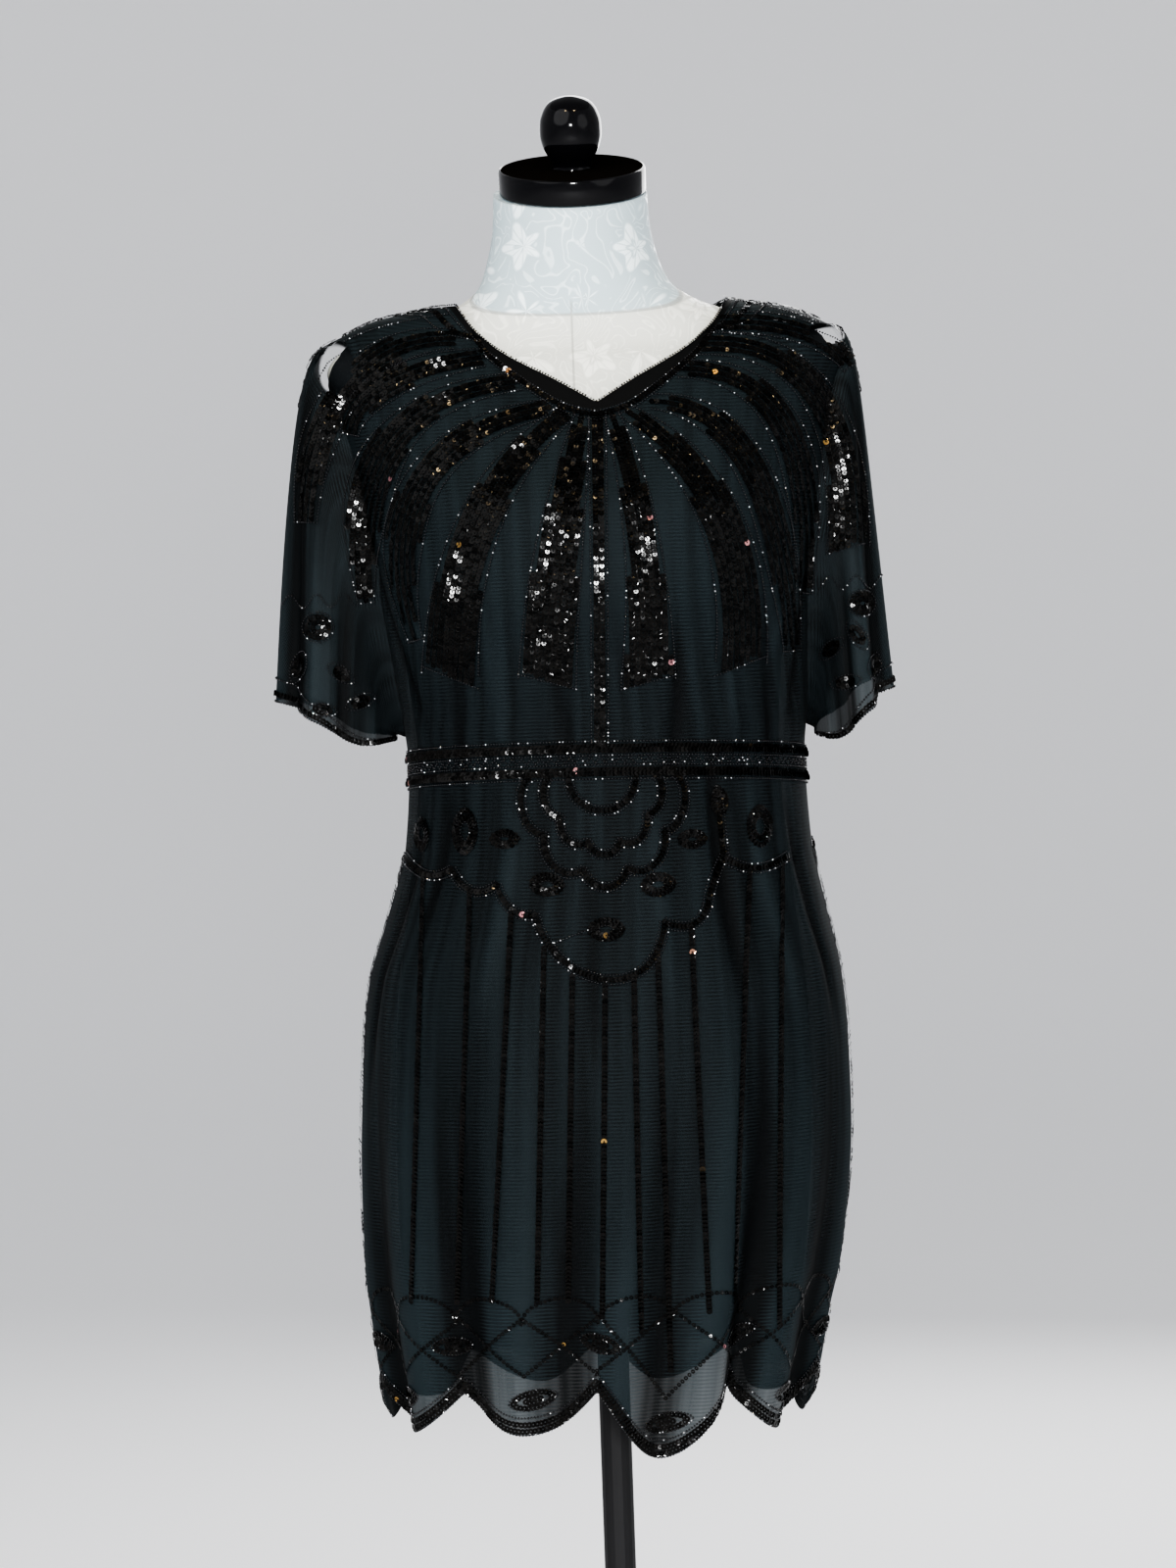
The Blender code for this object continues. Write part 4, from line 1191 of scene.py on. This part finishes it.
# %% Sequin bands
BAND = ("start", "guide_a", "guide_b", "end", "widths", "slant")
LEFT_BANDS = [
    ((1, 1302), (-11, 1247), (-27, 1180), (-32, 1103), (6, 23, 34, 39), 5),
    ((-12, 1304), (-67, 1264), (-101, 1205), (-106, 1109), (9, 23, 32, 38), 8),
    ((-24, 1309), (-115, 1295), (-158, 1237), (-132, 1138), (8, 20, 26, 6), 0),
    ((-45, 1330), (-144, 1323), (-176, 1267), (-169, 1168), (8, 19, 32, 8), 0),
    ((-72, 1349), (-113, 1346), (-168, 1333), (-176, 1297), (8, 15, 19, 10), 0),
    ((-95, 1364), (-165, 1368), (-206, 1313), (-212, 1231), (10, 19, 23, 12), 0),
    ((-99, 1389), (-142, 1385), (-191, 1377), (-206, 1347), (7, 8, 8, 6), 0),
]
RIGHT_BANDS = [
    ((24, 1302), (41, 1252), (50, 1184), (45, 1100), (6, 17, 25, 36), 6),
    ((36, 1304), (87, 1269), (126, 1212), (116, 1110), (6, 22, 30, 34), 9),
    ((55, 1311), (129, 1306), (151, 1226), (155, 1120), (6, 19, 22, 8), 0),
    ((76, 1335), (149, 1335), (179, 1278), (166, 1164), (7, 17, 22, 8), 0),
    ((92, 1353), (173, 1357), (207, 1299), (201, 1197), (10, 17, 23, 27), 5),
    ((111, 1369), (150, 1370), (188, 1360), (206, 1335), (9, 12, 12, 8), 0),
    ((118, 1393), (155, 1386), (188, 1376), (204, 1362), (7, 8, 8, 6), 0),
]
COLUMN_PITCH = 4.2  # from one row of sequins to the next
BEAD_MARGIN = 2.6  # from the outer sequins to the beads beside them
SEQUIN_SPACING, SMALL_SPACING, BEAD_SPACING = 0.0030, 0.0036, 0.0024
SEQUIN_LIFT, BEAD_LIFT = 0.0012, 0.0008
BACK_LEVEL = 1352  # the bands of the back start at least this high


def band_lines(band, outer):
    """Sequin rows and bead edges of one band, as lines on the tracing sheet."""
    size = dict(zip(BAND, band))
    corners = [size[name] for name in ("start", "guide_a", "guide_b", "end")]
    t = np.linspace(0, 1, 90)
    middle = bezier(corners, t[:, None])
    heading, side = sideways(middle)
    side = side * outer
    width = curve(t, np.array([0, 1 / 3, 2 / 3, 1]), np.array(size["widths"], float))
    rows, edges = [], []
    columns = int(max(size["widths"]) / COLUMN_PITCH / 2) + 1
    for k in range(-columns, columns + 1):
        off = k * COLUMN_PITCH
        keep = np.abs(off) <= width / 2
        if keep.sum() < 6:
            continue
        line = (middle + side * off)[keep]
        if size["slant"] and keep[-1]:
            reach = size["slant"] * off / (width[-1] / 2)
            if reach > 0:
                line = np.concatenate([line, [line[-1] + heading[-1] * reach]])
            else:
                line = line[np.linalg.norm(line - line[-1], axis=1) >= -reach]
        rows.append(line)
    for sign in (-1, 1):
        line = middle + side * (sign * (width[:, None] / 2 + BEAD_MARGIN))
        reach = sign * size["slant"]
        line = np.concatenate([line, [line[-1] + heading[-1] * (reach + BEAD_MARGIN)]])
        edges.append(line)
    edges.append(straight(edges[0][-1], edges[1][-1]))
    return rows, edges


def back_band(band):
    """The same band with its start lifted to the back's higher neckline."""
    start, guide_a, guide_b, *rest = band
    rise = max(0.0, BACK_LEVEL - start[1])
    return ((start[0], start[1] + rise), (guide_a[0], guide_a[1] + rise * 0.6), guide_b, *rest)


sequins_left, sequins_right, sequins_back = Trails(), Trails(), Trails()
bodice_beads, back_beads = Trails(), Trails()
for bands, outer, trails in ((LEFT_BANDS, 1, sequins_left), (RIGHT_BANDS, -1, sequins_right)):
    for band in bands:
        for shape, sequins, beads, back in ((band, trails, bodice_beads, False),
                                            (back_band(band), sequins_back, back_beads, True)):
            rows, edges = band_lines(shape, outer)
            for line in rows:
                sequins.add(*trace(line, back), lift=SEQUIN_LIFT)
            for line in edges:
                beads.add(*trace(line, back), lift=BEAD_LIFT)

# A double row with beads on both sides runs down the centre.
centre_line = flat_bezier([(13, 1304), (11, 1220), (9, 1130), (6, 1050)], 120)
for off in (-2.2, 2.2):
    sequins_left.add(*trace(centre_line + [off, 0]), lift=SEQUIN_LIFT)
for off in (-6.4, 6.4):
    bodice_beads.add(*trace(centre_line + [off, 0]), lift=BEAD_LIFT)

BODICE_TILT, SKIRT_TILT, EDGE_TILT = (-0.11, 0.20), (0.30, 0.17), (0.12, 0.22)


def string_sequins(name, trails, tilt, seed):
    string_up(name, trails, SEQUIN, SEQUIN_SPACING, *tilt, seed, SEQUIN_FINISH)


def string_beads(name, trails, seed):
    string_up(name, trails, BEAD, BEAD_SPACING, 0.0, 0.5, seed, BEAD_FINISH)


string_sequins("bodice_sequins_left", sequins_left, BODICE_TILT, 3)
string_sequins("bodice_sequins_right", sequins_right, BODICE_TILT, 5)
string_sequins("bodice_sequins_back", sequins_back, BODICE_TILT, 7)
string_beads("bodice_beads", bodice_beads, 11)
string_beads("back_beads", back_beads, 13)

# %% [markdown]
# Below the waist the beading is line work: a belt of two double rows of sequins, a medallion
# of lobed half rings under its middle, leaves on both sides, and a border of arcs. From the
# border, single rows of sequins run down like the ribs of a fan.

# %% Belt and medallion
skirt_sequins, skirt_beads = Trails(), Trails()
BOTH_SIDES = (-3.5, 3.5)  # millimetres from a sequin row to the beads beside it
ARC_POINTS, LEAF_POINTS, RING_POINTS = 30, 44, 160
BELT_HALF_GAP, BELT_BEADS = 0.0012, 0.0052  # from a double row's middle to its rows and beads


def draw_front(line, rows=(0.0,), beads=()):
    """Rows of sequins and of beads beside a line, at the given distances in millimetres."""
    side = sideways(line)[1]
    for off in rows:
        skirt_sequins.add(*trace(line + side * off), lift=SEQUIN_LIFT)
    for off in beads:
        skirt_beads.add(*trace(line + side * off), lift=BEAD_LIFT)


def three_point_arc(start, middle, end):
    """A soft arc from start to end that passes through the middle point."""
    start, middle, end = (np.array(p, float) for p in (start, middle, end))
    knee = 2 * middle - (start + end) / 2
    t = np.linspace(0, 1, ARC_POINTS)[:, None]
    return (1 - t) ** 2 * start + 2 * (1 - t) * t * knee + t**2 * end


def belt_height(turn, front, side):
    """Belt rows rise a little at the front and hang lower on the viewer's right."""
    return side + (front - side) * np.clip(np.cos(turn), 0, 1) - 0.0025 * np.sin(turn)


BELT_ROWS = ((1.0500, 1.0420), (1.0325, 1.0240))  # height at the front and at the sides
whole_turn = np.radians(np.linspace(-180, 180, 720))
for front, side in BELT_ROWS:
    z = belt_height(whole_turn, front, side)
    skirt_sequins.add(around_net(whole_turn, z + BELT_HALF_GAP), lift=SEQUIN_LIFT)
    skirt_sequins.add(around_net(whole_turn, z - BELT_HALF_GAP), lift=SEQUIN_LIFT * 1.6)
    for off in (-BELT_BEADS, BELT_BEADS):
        skirt_beads.add(around_net(whole_turn, z + off), lift=BEAD_LIFT)
zigzag = 0.0022 * np.sin(whole_turn * 130)
skirt_beads.add(around_net(whole_turn, belt_height(whole_turn, 1.0412, 1.0330) + zigzag),
                lift=BEAD_LIFT)

MEDALLION = (7, 1027)  # middle of the rings, on the belt's lower row


def lobed_ring(wide, deep, lobes, swell):
    """The lower half of a ring whose edge swells into round lobes."""
    share = np.linspace(0, 1, RING_POINTS)
    grow = 1 + swell * (np.abs(np.sin(np.pi * share * lobes)) ** 0.6 - 0.7)
    angle = np.pi * (1 + share)
    return np.stack([MEDALLION[0] + wide * grow * np.cos(angle),
                     MEDALLION[1] + deep * grow * np.sin(angle)], -1)


for wide, deep, lobes, swell in ((26, 27, 1, 0.0), (45, 58, 5, 0.15), (62, 82, 5, 0.15)):
    draw_front(lobed_ring(wide, deep, lobes, swell), beads=BOTH_SIDES)
print("belt and medallion drawn")

# %% Leaves
LEAVES = [  # x, z, long, wide, and lean in degrees
    (-132, 987, 27, 11, 90), (-99, 988, 38, 19, 88), (-69, 981, 22, 13, 0),
    (-38, 945, 27, 17, -6), (47, 942, 27, 17, 6), (6, 909, 29, 17, 0),
    (74, 976, 22, 13, 2), (96, 1004, 22, 11, 92), (126, 984, 34, 19, 90),
]


def leaf_line(x, z, long, wide, lean, inner=1.0):
    """Outline of a pointed leaf, turned by lean degrees."""
    angle = np.linspace(0, 2 * np.pi, LEAF_POINTS)
    along = np.cos(angle) * long / 2 * inner
    across = np.sin(angle) * np.abs(np.sin(angle)) ** 0.25 * wide / 2 * inner
    turn = math.radians(lean)
    return np.stack([x + along * math.cos(turn) - across * math.sin(turn),
                     z + along * math.sin(turn) + across * math.cos(turn)], -1)


for leaf in LEAVES:
    draw_front(leaf_line(*leaf), rows=(), beads=(BEAD_MARGIN,))
    for inner in (0.86, 0.55):
        draw_front(leaf_line(*leaf, inner))
    draw_front(leaf_line(*leaf, inner=0.38), rows=(), beads=(0.0,))
# The lowest leaf has a stalk of beads.
draw_front(three_point_arc((-8, 909), (-20, 905), (-34, 900)), rows=(), beads=(0.0,))
print(len(LEAVES), "leaves drawn")

# %% Border of arcs
BORDER = [
    ((-147, 973), (-130, 956), (-110, 959)), ((-110, 959), (-95, 942), (-76, 946)),
    ((-76, 946), (-66, 927), (-48, 922)), ((51, 913), (71, 910), (84, 924)),
    ((84, 924), (89, 944), (98, 962)), ((98, 962), (121, 952), (147, 961)),
]
for start, middle, end in BORDER:
    draw_front(three_point_arc(start, middle, end), beads=BOTH_SIDES)
deep_arc = flat_bezier([(-48, 922), (-34, 862), (44, 848), (51, 913)], 80)
draw_front(deep_arc, beads=BOTH_SIDES)
draw_front(straight((98, 962), (94, 1014)), beads=(-3.8,))
draw_front(straight((-147, 973), (-143, 1012)), beads=(3.8,))
print(len(BORDER) + 1, "arcs of the border drawn")

# %% Fan ribs
RIBS = [  # top and foot on the tracing sheet
    ((-132, 955), (-153, 629)), ((-97, 940), (-118, 627)), ((-66, 924), (-91, 627)),
    ((-42, 896), (-57, 625)), ((-21, 874), (-33, 625)), ((4, 866), (-7, 612)),
    ((26, 872), (22, 600)), ((45, 892), (44, 569)), ((71, 908), (75, 613)),
    ((117, 950), (94, 620)), ((142, 953), (128, 600)),
]
for top, foot in RIBS:
    draw_front(straight(top, foot))
for degrees in (-84, -97, 84, 97, *range(109, 254, 12)):
    z = np.linspace(0.965, 0.612, 160)
    lean = math.radians(degrees) + 0.05 * np.sin((z - 0.6) * 9) * (1 if degrees < 0 else -1)
    skirt_sequins.add(around_net(lean, z), lift=SEQUIN_LIFT)
# On the back a plain scalloped border joins the ribs.
back_turn = np.radians(np.linspace(84, 276, 560))
drop = 0.018 * np.abs(np.sin(np.degrees(back_turn - np.radians(85)) * math.pi / 24))
for off, trails, lift in ((0.0, skirt_sequins, SEQUIN_LIFT), (0.004, skirt_beads, BEAD_LIFT),
                          (-0.004, skirt_beads, BEAD_LIFT)):
    trails.add(around_net(back_turn, 0.972 - drop + off), lift=lift)

string_sequins("skirt_sequins", skirt_sequins, SKIRT_TILT, 17)
string_beads("skirt_beads", skirt_beads, 19)

# %% [markdown]
# The hem is the dressiest part of the skirt. Two sequin rows follow its scallops, a leaf sits
# in each scallop, and crossing lines of small sequins form diamonds on the bare net.

# %% Hem beading
hem_sequins, hem_beads, diamonds = Trails(), Trails(), Trails()
hem_turn = np.radians(np.linspace(-180, 180, 1440))
foot = hem_height(hem_turn)
for off in (0.0036, 0.0085):
    hem_sequins.add(around_net(hem_turn, foot + off), lift=SEQUIN_LIFT)
for off in (0.0006, 0.0135):
    hem_beads.add(around_net(hem_turn, foot + off), lift=BEAD_LIFT)

SCALLOP = 360 / SCALLOPS
HEM_RADIUS = 0.165
DIAMOND_FOOT, DIAMOND_TOP, DIAMOND_TIP = 0.016, 0.058, 0.045  # above the notch and the foot
ARCH_Z, ARCH_RISE = 0.630, 0.018
chance = np.random.default_rng(4)


def hem_leaf(degrees, z, long, wide, lean):
    """A leaf on the net near the hem; sizes in metres."""
    for inner, trails, lift in ((1.0, hem_beads, BEAD_LIFT), (0.80, hem_sequins, SEQUIN_LIFT),
                                (0.30, hem_sequins, SEQUIN_LIFT)):
        shape = leaf_line(0.0, 0.0, long, wide, lean, inner)
        turn = math.radians(degrees) + shape[:, 0] / HEM_RADIUS
        trails.add(around_net(turn, z + shape[:, 1]), lift=lift)


for k in range(SCALLOPS):
    notch = -180 + NOTCH_TURN + k * SCALLOP
    middle = notch + SCALLOP / 2
    low = float(hem_height(np.radians(middle)))
    high = float(hem_height(np.radians(notch)))
    hem_leaf(middle + chance.uniform(-2, 2), low + 0.027, 0.034, 0.014,
             chance.uniform(-14, 14))
    hem_leaf(notch + chance.uniform(-2, 2), high + 0.036, 0.030, 0.013,
             chance.uniform(-25, 25))
    for begin, end in ((notch, middle), (notch + SCALLOP, middle)):
        turn = np.radians(np.linspace(begin, end, 60))
        share = np.linspace(0, 1, 60)
        top, tip = high + DIAMOND_TOP, low + DIAMOND_TIP
        arch = ARCH_RISE * np.sqrt(np.clip(1 - (2 * share - 1) ** 2, 0, 1))
        rising = high + DIAMOND_FOOT + (DIAMOND_TOP - DIAMOND_FOOT) * share
        for z in (rising, top - (top - tip) * share, ARCH_Z + arch):
            diamonds.add(around_net(turn, z), lift=BEAD_LIFT)

# %% Neck and cuff beading
neck_sequins, neck_beads = Trails(), Trails()
part = np.linspace(-0.998, 0.998, 260)


def neck_line(rows, off, back=False):
    z = edge_height(NET, rows, part, NET_ARMHOLE) + off
    turn = np.radians(part * look(NET_ARMHOLE, "turn", z))
    return around_net(np.pi - turn if back else turn, z)


for rows, back in ((NET_NECK_ROWS, False), (BACK_NET_NECK_ROWS, True)):
    neck_sequins.add(neck_line(rows, -0.0042, back), lift=SEQUIN_LIFT)
    for off in (-0.0010, -0.0078):
        neck_beads.add(neck_line(rows, off, back), lift=BEAD_LIFT)
for rows, back in ((V_ROWS, False), (BACK_NECK_ROWS, True)):
    neck_beads.add(neck_line(rows, 0.0002, back), lift=BEAD_LIFT * 1.4)

for grid in (left_grid, right_grid):
    normals = grid_normals(grid, 1)
    for ring, trails, lift in ((-1, neck_beads, BEAD_LIFT), (-2, neck_sequins, SEQUIN_LIFT),
                               (-4, neck_beads, BEAD_LIFT)):
        trails.add((grid[:, ring], normals[:, ring]), lift=lift)

# Three rows run along the shoulder ridge, and two go on over the head of the sleeve.
for grid, side in ((left_grid, -1), (right_grid, 1)):
    z = np.linspace(EDGE_TOP_Z, SHOULDER_Z, 40)
    for lean in (-9.0, -3.5, 3.5):
        ridge = np.radians(side * 90 + lean * side)
        neck_sequins.add(around_net(ridge + 0 * z, z), lift=SEQUIN_LIFT)
    normals = grid_normals(grid, 1)
    for column in (-3, 3):
        neck_sequins.add((grid[column, :30], normals[column, :30]), lift=SEQUIN_LIFT)


def rosette(x, z, radius, back):
    angle = np.linspace(0, 2 * np.pi, 40)
    ring = np.stack([x + radius * np.cos(angle), z + radius * np.sin(angle)], -1)
    for grow, trails, lift in ((1.0, neck_sequins, SEQUIN_LIFT), (1.45, neck_beads, BEAD_LIFT),
                               (0.5, neck_sequins, SEQUIN_LIFT)):
        middle = np.array([x, z])
        trails.add(*trace(middle + (ring - middle) * grow, back), lift=lift)


SPRIGS = [  # leaves near the cuffs on the tracing sheet
    (-222, 1118, 26, 12, 70), (-190, 1112, 24, 11, -35), (-176, 1090, 24, 11, 20),
    (-205, 1085, 22, 10, -12), (186, 1118, 24, 11, 40), (206, 1128, 26, 12, -60),
    (196, 1092, 24, 11, 10), (218, 1104, 20, 10, 80),
]
for back in (False, True):
    for x, z, radius in ((-206, 1148, 8.0), (210, 1152, 7.0)):
        rosette(x, z, radius, back)
    for leaf in SPRIGS:
        neck_beads.add(*trace(leaf_line(*leaf), back), lift=BEAD_LIFT)
        neck_sequins.add(*trace(leaf_line(*leaf, inner=0.5), back), lift=SEQUIN_LIFT)
    for side in (-1, 1):
        wave = np.linspace(178, 232, 60)
        line = np.stack([side * wave, 1168 + 5 * np.sin(wave / 3.2)], -1)
        neck_beads.add(*trace(line, back), lift=BEAD_LIFT)

string_sequins("hem_sequins", hem_sequins, EDGE_TILT, 23)
string_beads("hem_beads", hem_beads, 29)
string_up("hem_diamonds", diamonds, SMALL, SMALL_SPACING, 0.12, 0.20, 41, SEQUIN_FINISH)
string_sequins("neck_and_cuff_sequins", neck_sequins, EDGE_TILT, 31)
string_beads("neck_and_cuff_beads", neck_beads, 37)

# %% [markdown]
# Each piece rides on the one body, and the solid it stands for is hidden.

# %% Pieces
def declare(piece, node):
    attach(piece, "root")
    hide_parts(node)


declare(dress_front, "dress_front")
declare(dress_back, "dress_back")
declare(sleeve_left, "sleeve_left")
declare(sleeve_right, "sleeve_right")
declare(lining_front, "lining_front")
declare(lining_back, "lining_back")
declare(binding_front, "neck_binding_front")
declare(binding_back, "neck_binding_back")
declare(torso, "form_torso")
declare(cap, "form_cap")
declare(knob, "form_knob")
print("pieces stand for their solids")

# %% [markdown]
# The camera stands a little above the middle of the dress, far enough away that the form
# keeps its proportions, and leans by two degrees as the photograph does.

# %% Camera, floor and lights
CAMERA_AIM, CAMERA_ROLL = Vector((-0.004, 0.0, 1.021)), math.radians(-2.0)
camera_data = bpy.data.cameras.new("camera")
camera_data.lens, camera_data.sensor_width = 96.0, 36.0
camera = show("camera", camera_data)
camera.location = EYE
camera.rotation_euler = (CAMERA_AIM - EYE).to_track_quat("-Z", "Y").to_matrix().to_euler()
camera.rotation_euler.rotate_axis("Z", CAMERA_ROLL)
bpy.context.scene.camera = camera


def studio_room():
    """A round pale floor that curves up into a wall far behind every camera."""
    finish, _, _ = new_finish("studio_floor", (0.70, 0.70, 0.71), 0.85,
                              Emission_Color=colour(0.80, 0.81, 0.83), Emission_Strength=0.24)
    floor, bend, top, sides = 8.0, 3.0, 11.0, 64
    angle = np.linspace(0, math.pi / 2, 14)
    profile = [(0.001, 0.0), (2.0, 0.0), (floor, 0.0)]
    profile += [(floor + bend * math.sin(a), bend - bend * math.cos(a)) for a in angle[1:]]
    profile += [(floor + bend, top)]
    turn = np.arange(sides) * 2 * math.pi / sides
    points = [(r * math.cos(t), r * math.sin(t), z - FLOOR_GAP) for r, z in profile for t in turn]
    faces = ring_faces(len(profile), sides, turned=True)
    room = show("studio_room", new_mesh("studio_room", points, faces, finish))
    room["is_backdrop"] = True


studio_room()


def area_light(name, place, aim_at, size, power, tint=(1.0, 1.0, 1.0)):
    data = bpy.data.lights.new(name, "AREA")
    data.shape, data.size, data.energy, data.color = "DISK", size, power, tint
    made = show(name, data)
    made.location = place
    direction = Vector(aim_at) - Vector(place)
    made.rotation_euler = direction.to_track_quat("-Z", "Y").to_euler()


area_light("key", (-2.1, -2.9, 3.0), (0, 0, 1.05), 4.2, 88.0)
area_light("fill", (2.8, -2.6, 1.8), (0, 0, 1.0), 2.8, 26.0)
area_light("rim", (0.9, 2.8, 2.3), (0, 0, 1.1), 2.8, 70.0)
area_light("spark", (0.08, -3.3, 1.20), (0, 0, 1.05), 0.36, 92.0)
for side in (-1, 1):
    area_light(f"warm_{side + 1}", (0.55 * side, -1.5, 3.0), (0.1 * side, 0, 1.3), 0.18, 7.0,
               (1.0, 0.74, 0.42))
world = bpy.data.worlds.new("studio")
world.use_nodes = True
world.node_tree.nodes["Background"].inputs["Color"].default_value = colour(0.78, 0.80, 0.83)
world.node_tree.nodes["Background"].inputs["Strength"].default_value = 0.36
bpy.context.scene.world = world
print("camera, floor and", len(bpy.data.lights), "lights ready")
# A camera's contrast keeps black cloth black.
bpy.context.scene.view_settings.look = "AgX - High Contrast"

# %% Size of the visual model
low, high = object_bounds()
print("visual box", [round(v, 4) for v in low], [round(v, 4) for v in high])
